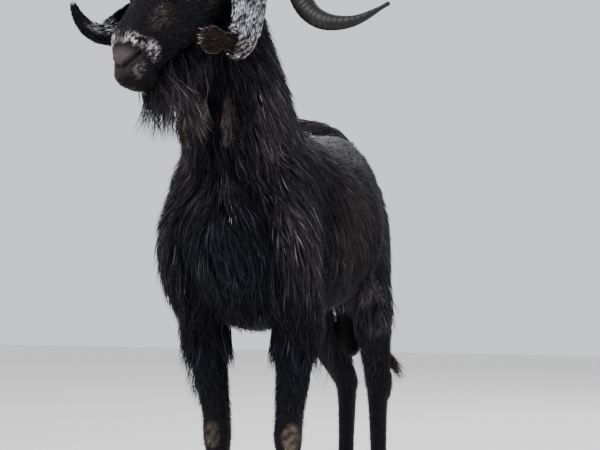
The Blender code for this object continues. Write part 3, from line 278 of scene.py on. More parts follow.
# Scrotum, sheath and left wattle: centre, half width, half depth
SCROTUM = (
    ((0.000, 0.270, 0.570), 0.018, 0.018),
    ((0.000, 0.280, 0.508), 0.018, 0.018),
    ((0.000, 0.312, 0.452), 0.021, 0.024),
    ((0.000, 0.334, 0.407), 0.027, 0.031),
    ((0.000, 0.341, 0.373), 0.026, 0.030),
    ((0.000, 0.342, 0.352), 0.017, 0.020),
)
SHEATH = (
    ((0.000, 0.130, 0.500), 0.014, 0.018),
    ((0.000, 0.160, 0.452), 0.014, 0.018),
    ((0.000, 0.175, 0.430), 0.014, 0.017),
    ((0.000, 0.184, 0.404), 0.008, 0.010),
)
WATTLE = (
    ((0.022, -0.365, 0.815), 0.0070, 0.0070),
    ((0.032, -0.404, 0.793), 0.0070, 0.0070),
    ((0.035, -0.415, 0.772), 0.0080, 0.0075),
    ((0.036, -0.419, 0.745), 0.0095, 0.0090),
    ((0.035, -0.420, 0.722), 0.0075, 0.0070),
)

# Beard: distance along the head, places to the side and length of the hair
BEARD_ROWS = (
    (0.214, (0.000, 0.014), 0.058),
    (0.198, (-0.009, 0.006, 0.018), 0.108),
    (0.178, (-0.012, 0.004, 0.020), 0.120),
    (0.155, (-0.022, -0.003, 0.022), 0.094),
    (0.130, (-0.026, 0.0, 0.026), 0.092),
    (0.104, (-0.020, 0.022), 0.078),
)

# Skin mesh: its voxel and rounds of softening; where its finer head starts, along the head
# and as limits of height and y; and the rounds of softening of the face
SKIN_VOXEL = 0.0049
SKIN_SOFTENING = 5
HEAD_FINE_ALONG = 0.030
HEAD_FINE_FLOOR = 0.75
HEAD_BACK_Y = -0.34
FACE_SOFTENING = 2

# Facets round each form
FACETS = {"torso": 40, "neck": 36, "head": 36, "shoulder": 16, "thigh": 18, "leg": 20,
          "heel": 10, "wattle": 12, "horn core": 16, "tail": 14, "scrotum": 20, "sheath": 14,
          "horn": 28, "eye": 56, "lid": 12}

# Size of the skin's forms under hair and horn, as a share of the solid's
WATTLE_CORE = 0.7
HORN_CORE = 0.8
TAIL_CORE = (0.75, 0.60)
SHEATH_CORE = 0.8

# Nostril and mouth worked into the skin: radius and depth of each dent, a raised rim over the
# nostril and its distance, and how far the painted shade in nostril and mouth line reaches from each
NOSTRIL_DENT = (0.0048, 0.0085)
NOSTRIL_RIM = (0.0060, -0.0022)
NOSTRIL_RIM_RISE = 0.0060
MOUTH_DENT = (0.0034, 0.0034)
NOSTRIL_SHADE_REACH = 0.0042
MOUTH_SHADE_REACH = 0.0024

# Eyes: the gaze and the level line of the lids in the head's frame, half the length of the
# opening, the heights of its two edges, and how deep the skin lies in it
EYE_GAZE = (0.38, 1.0, 0.24)
EYE_LEVEL = (0.90, 0.42)
EYE_OPENING = 0.0115
UPPER_EDGE = 0.0078
LOWER_EDGE = -0.0058
EYE_HOLLOW = 0.80

# Lids: thickness of the skin over the ball, how far round it the skin is drawn in and made
# finer, how closely it hugs the ball by direction, and the rims with their half thickness
LID_SKIN = 0.0016
LID_BLEND = 0.024
LID_FINE = 0.026
LID_HUG = (0.20, 0.40)
LID_EDGE_STEPS = 24
LID_RIMS = ((UPPER_EDGE, 0.0019), (LOWER_EDGE, 0.0015))
LID_RIM_REACH = 0.0008
LID_RIM_DEPTH = 0.8

# Brow ridge over each eye: its arch and reach past the lid's, its radius and its rise
BROW_ARCH = 2.0
BROW_REACH = 0.006
BROW_RIDGE = (0.0080, -0.0018)

# Iris and slot pupil, as shares of the ball's radius, and the grain of the iris
IRIS_EDGE = (0.70, 0.80)
IRIS_GRAIN = 2600.0
PUPIL_HALF = (0.48, 0.19)
PUPIL_EDGE = (0.85, 1.05)

# Horns: steps along each, the first that shows, and the roundness of the tip
HORN_FINE_STEPS = 150
HORN_ROOT_STEP = 7
HORN_TIP_ROUND = 0.8

# Ears: steps along and across, how thin the leaf gets, the thickness at its root, the width of
# its tip and how far past the fold its turned side starts
EAR_LENGTH_STEPS = 60
EAR_ACROSS_STEPS = 20
EAR_THINNEST = 0.72
EAR_ROOT_THICKNESS = 3.2
EAR_TIP_WIDTH = 0.004
EAR_FOLD_MARGIN = 0.35
EAR_SOFTENING = 2

# Claws: steps along each, and the section of its walls: share of the half width, height
CLAW_STEPS = 14
CLAW_WALLS = ((-0.92, 0.0), (0.92, 0.0), (1.0, 0.0012), (1.0, 0.006), (0.97, 0.018),
              (0.92, 0.032), (0.84, 0.050), (-0.84, 0.050), (-0.92, 0.032),
              (-0.97, 0.018), (-1.0, 0.006), (-1.0, 0.0012))

# Colours, in linear light
BLACK_COAT = (0.0062, 0.0056, 0.0076)
# Bluish sheen painted on black hair
BLUE_SHEEN_BLACK = (0.0062, 0.0078, 0.0122)
DARK_GREY = (0.0190, 0.0165, 0.0195)
# Grey of dust with painted sheen, lighter on the top of the back where light falls
DUST_AND_SHEEN_GREY = (0.0320, 0.0282, 0.0305)
BAG_BLACK = (0.0030, 0.0026, 0.0034)
BROWN_TINGE = (0.0260, 0.0180, 0.0165)
FACE_GREY = (0.0100, 0.0088, 0.0110)
LIP_GREY = (0.0330, 0.0265, 0.0275)
# Painted shade on the chin and under it, a brownish dark
CHIN_SHADE = (0.0062, 0.0044, 0.0044)
FROST = (0.5200, 0.4800, 0.4700)
TAN = (0.1000, 0.0820, 0.0600)
CREST_GREY = (0.0300, 0.0262, 0.0280)
BEARD_GREY = (0.0440, 0.0390, 0.0390)
BEARD_WHITE = (0.2200, 0.2000, 0.1950)
WATTLE_TAN = (0.0350, 0.0275, 0.0250)
NOSE_SKIN = (0.0560, 0.0440, 0.0470)
DARK_SKIN = (0.0070, 0.0060, 0.0065)
CALLUS = (0.1200, 0.0920, 0.0670)
CALLUS_GREY = (0.0640, 0.0510, 0.0420)
EAR_BLACK = (0.0140, 0.0135, 0.0150)
EAR_PALE = (0.4400, 0.4500, 0.4900)
EAR_TIP_PALE = (0.2600, 0.2100, 0.2000)
EAR_BROWN = (0.0170, 0.0105, 0.0090)
EAR_INSIDE = (0.0060, 0.0052, 0.0058)
EAR_RIM = (0.1100, 0.0860, 0.0780)
EYE_DARK = (0.0300, 0.0180, 0.0120)
IRIS = (0.3600, 0.1900, 0.0550)
IRIS_DARK = (0.1700, 0.0800, 0.0250)
PUPIL = (0.0020, 0.0020, 0.0030)

# Shade of the skin under the coat, of the ears' skin, and painted shade in the slits at nostril and mouth
SKIN_SHADE = 0.8
EAR_SKIN_SHADE = 0.5
SLIT_SHADE = 0.5

# The bare nose pad in the head's frame, its share of bare colour, and where the face begins
NOSE_PAD = ((0.246, 0.0, -0.008), (0.024, 0.030, 0.016))
NOSE_SHARE = 0.95
FACE_START = 0.14

# Random patterns: waves in each, their scales, phase and evenness; the full middle of a spot;
# shares of fine and coarse flecks, and how much coarser the coarse ones are
PATCH_WAVES = 7
PATCH_SCALES = (0.6, 1.6)
PATCH_PHASE = 6.3
PATCH_EVENNESS = 2.2
SPOT_CORE = 0.35
FLECK_SHARES = (0.6, 0.4)
FLECK_COARSER = 3.0

# Soft marks on both sides of the body: centre, radii, colour, share
BODY_MARKS = (
    # Dust and painted sheen: grey over the top of the back and the rump, lightest on top
    ((0.000, 0.120, 0.775), (0.170, 0.420, 0.110), DUST_AND_SHEEN_GREY, 0.70),
    ((0.125, 0.290, 0.600), (0.090, 0.180, 0.200), DUST_AND_SHEEN_GREY, 0.65),
    ((0.080, -0.322, 0.770), (0.052, 0.075, 0.190), CREST_GREY, 0.85),
    # Dust and painted sheen round the root of the tail
    ((0.045, 0.360, 0.785), (0.110, 0.070, 0.080), DUST_AND_SHEEN_GREY, 0.95),
    ((0.120, -0.300, 0.600), (0.055, 0.095, 0.120), CREST_GREY, 0.80),
    ((0.130, -0.060, 0.620), (0.070, 0.140, 0.110), BROWN_TINGE, 0.80),
    ((0.105, 0.110, 0.490), (0.040, 0.050, 0.050), BROWN_TINGE, 0.70),
    # Bluish sheen painted on the foreleg and the chest
    ((0.078, -0.250, 0.380), (0.040, 0.050, 0.090), BLUE_SHEEN_BLACK, 0.80),
    ((0.030, -0.350, 0.530), (0.110, 0.060, 0.130), BLUE_SHEEN_BLACK, 0.55),
    ((0.034, -0.418, 0.745), (0.022, 0.025, 0.050), WATTLE_TAN, 1.00),
    ((0.000, 0.330, 0.400), (0.060, 0.070, 0.110), BAG_BLACK, 1.00),
    ((0.130, 0.020, 0.420), (0.070, 0.140, 0.080), BLACK_COAT, 0.60),
)

# Marks on both sides of the head, in its own frame: centre, radii, colour, share
HEAD_MARKS = (
    ((0.130, 0.040, -0.005), (0.090, 0.040, 0.060), FACE_GREY, 0.90),
    ((0.250, 0.000, -0.014), (0.040, 0.060, 0.034), LIP_GREY, 0.85),
    # Painted shade on the chin and under it
    ((0.258, 0.000, -0.062), (0.050, 0.070, 0.028), CHIN_SHADE, 1.00),
    ((0.230, 0.000, -0.070), (0.050, 0.070, 0.034), CHIN_SHADE, 1.00),
)
# Mottled pale hair on the head, by the same four values
FROST_MARKS = (
    ((0.226, 0.004, 0.012), (0.016, 0.026, 0.012), FROST, 0.35),
    ((0.229, 0.021, 0.008), (0.014, 0.018, 0.013), FROST, 1.00),
    ((0.222, 0.028, -0.006), (0.012, 0.012, 0.014), FROST, 0.45),
    ((0.213, 0.031, -0.026), (0.016, 0.014, 0.026), FROST, 0.85),
    ((0.250, 0.024, -0.034), (0.022, 0.014, 0.014), FROST, 0.16),
    ((0.172, 0.035, 0.006), (0.036, 0.011, 0.024), TAN, 0.45),
    ((0.084, 0.053, -0.026), (0.014, 0.012, 0.009), TAN, 0.60),
)
# Grain of the body's marks and of the pale flecks, and the flecks' edge
COAT_GRAIN = 60.0
FROST_GRAIN = 1250.0
FROST_EDGE = (0.45, 0.66)

# Ears: grain and share of the speckles, where the lower end turns browner, and the pale patch
# on the inner side
EAR_GRAIN = 1100.0
EAR_SPECKLE = (0.38, 0.62)
EAR_LOW = (-0.900, -0.850)
EAR_PALE_PATCH = ((-0.160, -0.425, 0.900), (0.040, 0.030, 0.018))
EAR_PALE_SHARE = 0.8
EAR_RIM_EDGE = (0.90, 1.0)

# Bare calluses on the knees: height of the middle, radii, x and y of each, how firm their
# outline is, and the grain and edge of the worn places
CALLUS_HEIGHT = 0.246
CALLUS_RADII = (0.016, 0.030, 0.026)
CALLUS_PLACE = {1: (0.078, -0.243), -1: (-0.058, -0.250)}
CALLUS_FIRMNESS = 2.5
CALLUS_GRAIN = 380.0
CALLUS_EDGE = (0.25, 0.6)

# Coat regions: tufts, length, width, lift of the tip above the skin, how it hangs free, and
# the share of tufts painted lighter as highlights; the legs' region reaches a little over their cut
REGIONS = {
    "head": (26000, 0.0078, 0.0009, 0.0013, 0.0, 0.10),
    "neck": (14400, 0.060, 0.0021, 0.0100, 0.14, 0.22),
    "chest": (15600, 0.068, 0.0022, 0.0110, 0.16, 0.12),
    "barrel": (17600, 0.046, 0.0018, 0.0060, 0.08, 0.08),
    "rump": (18400, 0.042, 0.0018, 0.0058, 0.08, 0.06),
    "legs": (18400, 0.036, 0.0016, 0.0048, 0.10, 0.08),
}
LEG_COAT_OVERLAP = 0.015

# A tuft's rings: share of its length, of its width, and how far it leans into its clump
LONG_TUFT = ((0.0, 0.34, 0.70, 1.0), (0.85, 1.0, 0.72), (0.0, 0.25, 0.55, 0.80))
SHORT_TUFT = ((0.0, 0.50, 1.0), (1.0, 0.80), (0.0, 0.20, 0.40))

# A tuft's height as a share of its width, its shade at root and tip, and its root's depth
TUFT_HEIGHT = 0.8
ROOT_TO_TIP = (0.55, 1.20)
ROOT_DEPTH = 0.0012

# A tuft's patch on the map, and the map's free edge and reach
UV_PATCH = 0.003
MAP_EDGE = 0.005
MAP_REACH = 0.985

# The way the hair lies: out, back and down on neck, chest and legs, parted at an x on the neck
# and in front of a y on the chest; its drop on the head; back and down on the trunk, and what
# the top of the back adds to these
LIE = {"neck": (0.22, 0.30, -1.0), "chest": (0.10, 0.20, -1.0), "legs": (0.0, 0.12, -1.0)}
NECK_PARTING_X = -0.010
CHEST_PARTING_Y = -0.2
HEAD_LIE_DROP = 0.35
TRUNK_LIE = (0.35, -1.0)
TRUNK_LIE_TOP = (1.6, 0.8)

# Clumps: one tuft in how many leads, how far the others lean in to it, stand off and stray,
# how the lie, length and width vary, the spread of tones, and how much lighter painted highlights are
CLUMP_SIZE = 9
CLUMP_PULL = (0.35, 1.0)
CLUMP_STAND_OFF = (-0.1, 0.5)
CLUMP_STRAY = 0.045
LIE_SPREAD = 0.16
LENGTH_SPREAD = (0.70, 1.12)
WIDTH_SPREAD = (0.6, 1.15)
TONE_SPREAD = 0.50
HIGHLIGHT_TONES = (2.0, 5.0)

# Hair length, as shares of the region's: on the face, gained at the back of the head and along
# the jaw; the shortest on the legs and the heights between which it grows long; how much
# shorter it is on the back, the crest and the scrotum, and the scrotum's place; then where the
# back of the head and the jaw begin and end, and how far a place faces the rear or upwards
FACE_HAIR = (0.55, 1.3, 1.2)
LEG_SHORTEST = 0.16
LEG_LONG_FROM = (0.225, 0.345)
BACK_SHORTER = 0.50
CREST_SHORTER = 0.25
BAG_SHORTER = 0.72
BAG = ((0.0, 0.330, 0.400), (0.060, 0.065, 0.110))
FACE_TO_BACK = (0.02, 0.20)
JAW_DROP = (0.030, 0.070)
JAW_END = (0.20, 0.24)
FACING_REAR = (-0.4, 0.5)
FACING_UP = (0.15, 0.80)

# Where tufts grow denser: along the head, and up the legs
FACE_DENSER = (0.0, 0.16)
LEG_DENSER = (0.18, 0.32)

# Places with no tufts: round each eye in the head's frame, and round a horn's root
BARE_EYE_SIDE = 0.052
BARE_EYE = (0.015, 0.020, 0.011)
HORN_BARE = 0.002

# Short hair of the ears: tufts, length, width, stray, lift and the share painted as highlights
EAR_TUFTS = 6000
EAR_HAIR_LENGTH = (0.0055, 0.0105)
EAR_HAIR_WIDTH = 0.0012
EAR_HAIR_STRAY = 0.13
EAR_HAIR_LIFT = 0.12
EAR_HAIR_HIGHLIGHTS = 0.03

# Hanging hair: how its fall and curl vary, how deep its roots lie, how it leaves the skin
# step by step, the spread of length and width, and the share of tufts painted as highlights
HANG_SPREAD = 0.13
HANG_CURL = 0.10
TUFT_SINK = 0.001
HANG_OUT = (0.35, 0.30)
HANG_LENGTHS = (0.55, 1.1)
HANG_WIDTHS = (0.6, 1.2)
HANG_HIGHLIGHTS = 0.18
STRAIGHT_DOWN = (0.0, 0.05, -1.0)

# Hanging hair on the head, by place in the head's frame: radii, tufts, length, width, fall,
# colour
HEAD_TUFTS = (
    ((0.243, 0.002, -0.076), (0.012, 0.008, 0.006), 40, 0.030, 0.0010, STRAIGHT_DOWN, BLACK_COAT),
    ((0.243, 0.006, -0.073), (0.003, 0.003, 0.003), 24, 0.062, 0.0010, (0.02, 0.0, -1.0), BLACK_COAT),
    ((0.235, 0.008, -0.077), (0.003, 0.003, 0.003), 20, 0.085, 0.0010, (-0.22, -0.05, -1.0), BLACK_COAT),
    ((0.175, 0.018, -0.078), (0.022, 0.014, 0.008), 200, 0.050, 0.0013, (0.50, 0.0, -1.0), FACE_GREY),
    ((0.145, 0.024, -0.078), (0.022, 0.016, 0.010), 220, 0.055, 0.0013, (0.50, 0.0, -1.0), FACE_GREY),
    ((0.200, 0.018, -0.095), (0.016, 0.014, 0.009), 190, 0.080, 0.0012, (0.62, 0.05, -1.0), BEARD_GREY),
    ((0.172, 0.008, -0.122), (0.018, 0.012, 0.010), 230, 0.068, 0.0012, (0.42, 0.0, -1.0), BEARD_GREY),
    ((0.150, 0.002, -0.148), (0.006, 0.005, 0.005), 30, 0.045, 0.0012, (0.25, -0.10, -1.0), BEARD_WHITE),
    ((0.012, 0.000, 0.050), (0.026, 0.016, 0.010), 420, 0.060, 0.0016, (-0.30, -0.70, -0.85), BLACK_COAT),
)
# The same on the body, by place on it
BODY_TUFTS = (
    ((0.006, -0.349, 0.668), (0.005, 0.004, 0.014), 36, 0.065, 0.0011, (0.16, -0.10, -1.0), CREST_GREY),
    ((0.014, -0.352, 0.632), (0.003, 0.004, 0.012), 24, 0.070, 0.0010, (0.14, -0.08, -1.0), BEARD_WHITE),
    ((0.000, 0.180, 0.410), (0.012, 0.014, 0.012), 30, 0.150, 0.0011, (-0.05, -0.05, -1.0), BLACK_COAT),
    ((0.072, 0.372, 0.350), (0.012, 0.010, 0.022), 260, 0.054, 0.0015, (0.75, 0.25, -0.95), BROWN_TINGE),
    ((-0.086, -0.205, 0.380), (0.006, 0.030, 0.050), 220, 0.050, 0.0015, (-0.16, 0.16, -1.0), BLACK_COAT),
    ((0.000, -0.300, 0.436), (0.050, 0.040, 0.008), 200, 0.030, 0.0016, STRAIGHT_DOWN, BLACK_COAT),
    ((0.060, 0.150, 0.455), (0.030, 0.030, 0.010), 160, 0.040, 0.0015, (0.0, 0.35, -1.0), DARK_GREY),
    ((0.097, 0.212, 0.474), (0.026, 0.036, 0.026), 520, 0.070, 0.0018, (0.0, 0.10, -1.0), DARK_GREY),
    ((0.104, 0.120, 0.500), (0.018, 0.050, 0.016), 320, 0.060, 0.0018, (0.0, 0.20, -1.0), DARK_GREY),
    ((0.066, 0.188, 0.496), (0.034, 0.020, 0.012), 340, 0.066, 0.0018, (0.0, 0.08, -1.0), DARK_GREY),
)
# Tufts at each place of the beard, wattles, tail and sheath; the height of the beard's roots
# in the head's frame, and how much longer its hair is than its row says
BEARD_TUFTS = 80
WATTLE_TUFTS = 150
TAIL_TUFTS = 330
SHEATH_TUFTS = 110
BEARD_RISE = -0.072
BEARD_STRETCH = 1.05

# Camera and lights: lens, sensor and place of the camera, its turn and pitch in degrees; name,
# place, size, power and colour of each light, and where they aim
CAMERA_LENS = 90.0
CAMERA_SENSOR = 36.0
CAMERA_PLACE = (0.884, -2.538, 0.530)
CAMERA_TURN = 19.0
CAMERA_PITCH = 1.41
LIGHTS = (
    ("key", (-1.6, -2.2, 3.0), 2.2, 120.0, (1.0, 0.98, 0.95)),
    ("fill", (2.8, -1.2, 1.8), 2.5, 60.0, (0.90, 0.95, 1.0)),
    ("rim", (0.6, 2.6, 2.6), 1.8, 70.0, (0.95, 0.97, 1.0)),
)
LIGHTS_AIM = Vector((0.0, 0.0, 0.6))
SKY_COLOUR = (0.93, 0.95, 1.0, 1.0)
SKY_STRENGTH = 1.05
FLOOR_SIZE = 6.0

UP = Vector((0.0, 0.0, 1.0))
DOWN = -UP
SIDEWAYS = Vector((1.0, 0.0, 0.0))
SIDES = (("left", 1), ("right", -1))
FLESH_NODES = ("head", "neck", "chest", "barrel", "rump", "tail", "sheath", "scrotum",
               "wattle_left", "wattle_right", "thigh_left", "thigh_right",
               "foreleg_left_upper", "foreleg_left_lower", "foreleg_right_upper",
               "foreleg_right_lower", "hindleg_left_upper", "hindleg_left_lower",
               "hindleg_right_upper", "hindleg_right_lower")


def head_axes():
    """Forward along the head, out to its left, and up out of its face."""
    heading = Vector((-math.sin(HEAD_YAW), -math.cos(HEAD_YAW), 0.0))
    forward = heading * math.cos(HEAD_PITCH) + DOWN * math.sin(HEAD_PITCH)
    upward = heading * math.sin(HEAD_PITCH) + UP * math.cos(HEAD_PITCH)
    side = Vector((math.cos(HEAD_YAW), -math.sin(HEAD_YAW), 0.0))
    return forward, side, upward


HEAD_FORWARD, HEAD_SIDE, HEAD_UP = head_axes()

# Where the coat's map of each region is laid round: a point and an axis
MAP_AXES = {
    "head": (HEAD_BASE, HEAD_FORWARD),
    "neck": ((0.0, -0.290, 0.800), (-0.01, -0.12, 0.30)),
    "chest": ((0.0, -0.220, 0.580), (0.0, 0.0, 1.0)),
    "barrel": ((0.0, 0.000, 0.590), (0.0, 1.0, 0.0)),
    "rump": ((0.0, 0.250, 0.600), (0.0, 1.0, 0.0)),
    "legs": ((0.0, 0.060, 0.200), (0.0, 0.0, 1.0)),
}


def head_point(along, side, rise):
    """A point given in the head's own frame."""
    return HEAD_BASE + HEAD_FORWARD * along + HEAD_SIDE * side + HEAD_UP * rise


def ring(bm, centre, side, front, back, segments):
    """One closed ring, with its own reach to the side, to the front and to the back."""
    made = bmesh.ops.create_circle(bm, cap_ends=False, radius=1.0, segments=segments)
    for vert in made["verts"]:
        across, along = vert.co.x, vert.co.y
        reach = front if along > 0.0 else back
        vert.co = centre + side * across + reach * abs(along)
    return [edge for edge in bm.edges if edge.verts[0] in made["verts"]
            and edge.verts[1] in made["verts"]]


def path_tangents(points):
    """Directions along a path of points."""
    tangents = []
    for index in range(len(points)):
        before = points[max(index - 1, 0)]
        after = points[min(index + 1, len(points) - 1)]
        tangents.append((after - before).normalized())
    return tangents


def placed_rings(rows, side_hint=SIDEWAYS):
    """Rows of centre, half width, front and back reach, turned square to their path."""
    points = [Vector(row[0]) for row in rows]
    placed = []
    for point, tangent, row in zip(points, path_tangents(points), rows):
        side = (side_hint - tangent * side_hint.dot(tangent)).normalized()
        front = tangent.cross(side)
        placed.append((point, side * row[1], front * row[2], -front * row[3], tangent))
    return placed


def rounded_end(placed, direction, rounding):
    """Two smaller rings past an end, set out by a share of the end's own size."""
    point, side, front, back, tangent = placed
    size = min(side.length, front.length, back.length)
    extra = []
    for share, scale in ROUNDED_RINGS:
        moved = point + tangent * direction * size * rounding * share
        extra.append((moved, side * scale, front * scale, back * scale, tangent))
    return extra


def tube(bm, placed, segments, start=0.6, end=0.6):
    """A closed tube through placed rings, with rounded ends, or flat ones where 0."""
    rings = list(placed)
    if start:
        rings = rounded_end(placed[0], -1.0, start)[::-1] + rings
    if end:
        rings = rings + rounded_end(placed[-1], 1.0, end)
    loops = [ring(bm, *item[:4], segments) for item in rings]
    for first, second in zip(loops, loops[1:]):
        bmesh.ops.bridge_loops(bm, edges=first + second)
    for loop in (loops[0], loops[-1]):
        bmesh.ops.contextual_create(bm, geom=loop)


def loft(bm, rows, segments, side_hint=SIDEWAYS, start=0.6, end=0.6):
    """A closed tube through rows of centre, half width, front reach and back reach."""
    tube(bm, placed_rings(rows, side_hint), segments, start, end)


def ball(bm, centre, radius, stretch=(1.0, 1.0, 1.0), axes=None, segments=14):
    """A ball or egg whose own axes may be turned."""
    turn = Matrix.Identity(4)
    if axes:
        turn = Matrix((axes[0], axes[1], axes[2])).transposed().to_4x4()
    scale = Matrix.Diagonal((*[radius * value for value in stretch], 1.0))
    place = Matrix.Translation(centre) @ turn @ scale
    bmesh.ops.create_uvsphere(bm, u_segments=segments, v_segments=segments // 2 + 1,
                              radius=1.0, matrix=place)


def leg_rows(rows, sign, inward, back=0.0, stifle_back=0.0, bow=0.0):
    """One leg's sections; down to the knee or hock it moves inwards and back by degrees."""
    made = []
    top = rows[0][0][2]
    joint = rows[4][0][2]
    for (x, y, z), half_width, half_depth in rows:
        share = min(1.0, max(0.0, (top - z) / (top - joint)))
        shift = stifle_back + (back - stifle_back) * share
        out = bow * max(0.0, 1.0 - abs(z - BOW_HEIGHT) / BOW_REACH)
        place = ((x + inward * share + out) * sign, y + shift, z)
        made.append((place, half_width, half_depth, half_depth))
    return made


def foreleg_rows(sign):
    """The sections of one foreleg."""
    return leg_rows(FORELEG, sign, FORELEG_INWARD[sign], bow=FORELEG_BOW[sign])


def hindleg_rows(sign):
    """The sections of one hind leg."""
    return leg_rows(HINDLEG, sign, HINDLEG_INWARD[sign], HINDLEG_BACK[sign],
                    STIFLE_BACK[sign])


def muzzle(bm):
    """The lips, the chin and the wings of the nose."""
    axes = (HEAD_SIDE, HEAD_FORWARD, HEAD_UP)
    for place, radius, stretch in MUZZLE:
        ball(bm, head_point(*place), radius, stretch, axes)
    (along, side, rise), radius, stretch = NOSE_WING
    for _, sign in SIDES:
        ball(bm, head_point(along, sign * side, rise), radius, stretch, axes)


def shoulder(bm, sign):
    """The shoulder blade and the upper arm under the skin."""
    loft(bm, [((x * sign, y, z), width, front, rear)
              for (x, y, z), width, front, rear in SHOULDER], FACETS["shoulder"])


def thigh(bm, sign):
    """The buttock and thigh down to the stifle."""
    back = STIFLE_BACK[sign]
    loft(bm, [((x * sign, y + back * share, z), width, front, rear)
              for (x, y, z), width, front, rear, share in THIGH], FACETS["thigh"])


def heel(bm, sign):
    """The heel bone behind the hock and the tendon above it."""
    inward = HINDLEG_INWARD[sign]
    back = HINDLEG_BACK[sign]
    loft(bm, [(((x + inward) * sign, y + back, z), width, front, rear)
              for (x, y, z), width, front, rear in HEEL], FACETS["heel"])


def head_cut():
    """The plane between head and neck, whose normal points into the head."""
    point = head_point(*HEAD_CUT_POINT)
    along, side, rise = HEAD_CUT_NORMAL
    normal = HEAD_FORWARD * along + HEAD_SIDE * side + HEAD_UP * rise
    return point, normal.normalized()


def coronet_cut(place):
    """The tilted plane between a foot and its claws, whose normal points up the leg."""
    point = Vector((place[0], place[1], CORONET_HEIGHT))
    normal = Vector((0.0, math.sin(CORONET_TILT), math.cos(CORONET_TILT)))
    return point, normal


def foot_place(kind, sign):
    """The middle of a foot at its coronet."""
    rows = foreleg_rows(sign) if kind == "foreleg" else hindleg_rows(sign)
    return Vector(rows[-1][0])


def smooth_line(points, steps):
    """A smooth path through a few points, as evenly many steps from each to the next."""
    path = []
    last = len(points) - 1
    for step in range(steps + 1):
        place = step / steps * last
        index = min(int(place), last - 1)
        t = place - index
        a = points[max(index - 1, 0)]
        b = points[index]
        c = points[index + 1]
        d = points[min(index + 2, last)]
        path.append(0.5 * ((2 * b) + (c - a) * t + (2 * a - 5 * b + 4 * c - d) * t * t
                           + (3 * b - a - 3 * c + d) * t * t * t))
    return path


def horn_radius(share):
    """A horn's half thickness: nearly even at first, then tapering to a blunt tip."""
    late, curve = HORN_TAPER
    body = HORN_BASE_RADIUS * (1.0 - share ** late) ** curve
    return max(HORN_TIP_RADIUS, body)


def horn_rings(sign, steps=HORN_STEPS):
    """The rings of a horn, from inside the skull to its tip, with low growth rings."""
    ahead = Vector((-math.sin(HEAD_YAW), -math.cos(HEAD_YAW), 0.0))
    points = [HEAD_BASE + HEAD_SIDE * side * sign + ahead * forward + UP * rise
              for side, forward, rise in HORN_LINE]
    height, pace = HORN_RINGS
    rows = []
    for step, point in enumerate(smooth_line(points, steps)):
        share = step / steps
        swell = height * math.sin(share * HORN_STEPS * pace) * (1.0 - share)
        radius = horn_radius(share) * (1.0 + swell)
        rows.append((point, radius * HORN_FLATTEN, radius, radius))
    forward, rise = HORN_FACING
    return placed_rings(rows, ahead * forward + UP * rise)


def ear_ring(point, tangent, outward, half_width, thickness, steps):
    """One section of an ear: a curved leaf, hollow on its inner side."""
    across = tangent.cross(outward)
    cup = EAR_CUP * min(1.0, half_width / EAR_CUP_WIDTH)
    outer = []
    inner = []
    for step in range(steps + 1):
        angle = math.pi * step / steps
        side = across * math.cos(angle) * half_width
        bulge = math.sin(angle) * cup
        outer.append(point + side + outward * bulge)
        if 0 < step < steps:
            depth = bulge - thickness * (0.5 + 0.5 * math.sin(angle))
            inner.append(point + side * EAR_INNER_WIDTH + outward * depth)
    return outer + inner[::-1]


def leaf(bm, rings):
    """A closed body through rings that are lists of points."""
    loops = []
    for points in rings:
        verts = [bm.verts.new(point) for point in points]
        pairs = zip(verts, verts[1:] + verts[:1])
        loops.append([bm.edges.new(pair) for pair in pairs])
    for first, second in zip(loops, loops[1:]):
        bmesh.ops.bridge_loops(bm, edges=first + second)
    for loop in (loops[0], loops[-1]):
        bmesh.ops.contextual_create(bm, geom=loop)


def even_rings(rows):
    """Placed rings of rows of centre, half width and half depth."""
    return placed_rings([(place, width, depth, depth) for place, width, depth in rows])


def principled(name, roughness, specular):
    """A Principled material; gives the material, its nodes, its links and its shader."""
    material = bpy.data.materials.new(name)
    material.use_nodes = True
    nodes = material.node_tree.nodes
    shader = nodes["Principled BSDF"]
    shader.inputs["Roughness"].default_value = roughness
    shader.inputs["Specular IOR Level"].default_value = specular
    return material, nodes, material.node_tree.links, shader


def attribute(nodes, name):
    """The node that reads one of the piece's own maps."""
    made = nodes.new("ShaderNodeAttribute")
    made.attribute_name = name
    return made


def noise(nodes, links, source, scale, detail=4.0, stretch=None):
    """A noise texture on the object's own coordinates, stretched by a Mapping node."""
    texture = nodes.new("ShaderNodeTexNoise")
    texture.inputs["Scale"].default_value = scale
    texture.inputs["Detail"].default_value = detail
    if stretch:
        mapping = nodes.new("ShaderNodeMapping")
        mapping.inputs["Scale"].default_value = stretch
        links.new(source, mapping.inputs["Vector"])
        source = mapping.outputs["Vector"]
    links.new(source, texture.inputs["Vector"])
    return texture.outputs["Fac"]


def ramp(nodes, links, value, stops):
    """A colour ramp through (position, colour) stops."""
    made = nodes.new("ShaderNodeValToRGB")
    while len(made.color_ramp.elements) < len(stops):
        made.color_ramp.elements.new(0.5)
    for element, (position, colour) in zip(made.color_ramp.elements, stops):
        element.position = position
        element.color = (*colour, 1.0)
    links.new(value, made.inputs["Fac"])
    return made.outputs["Color"]


def bump(nodes, links, value, shader, strength, distance):
    """A bump from a value to the shader's normal."""
    made = nodes.new("ShaderNodeBump")
    made.inputs["Strength"].default_value = strength
    made.inputs["Distance"].default_value = distance
    links.new(value, made.inputs["Height"])
    links.new(made.outputs["Normal"], shader.inputs["Normal"])


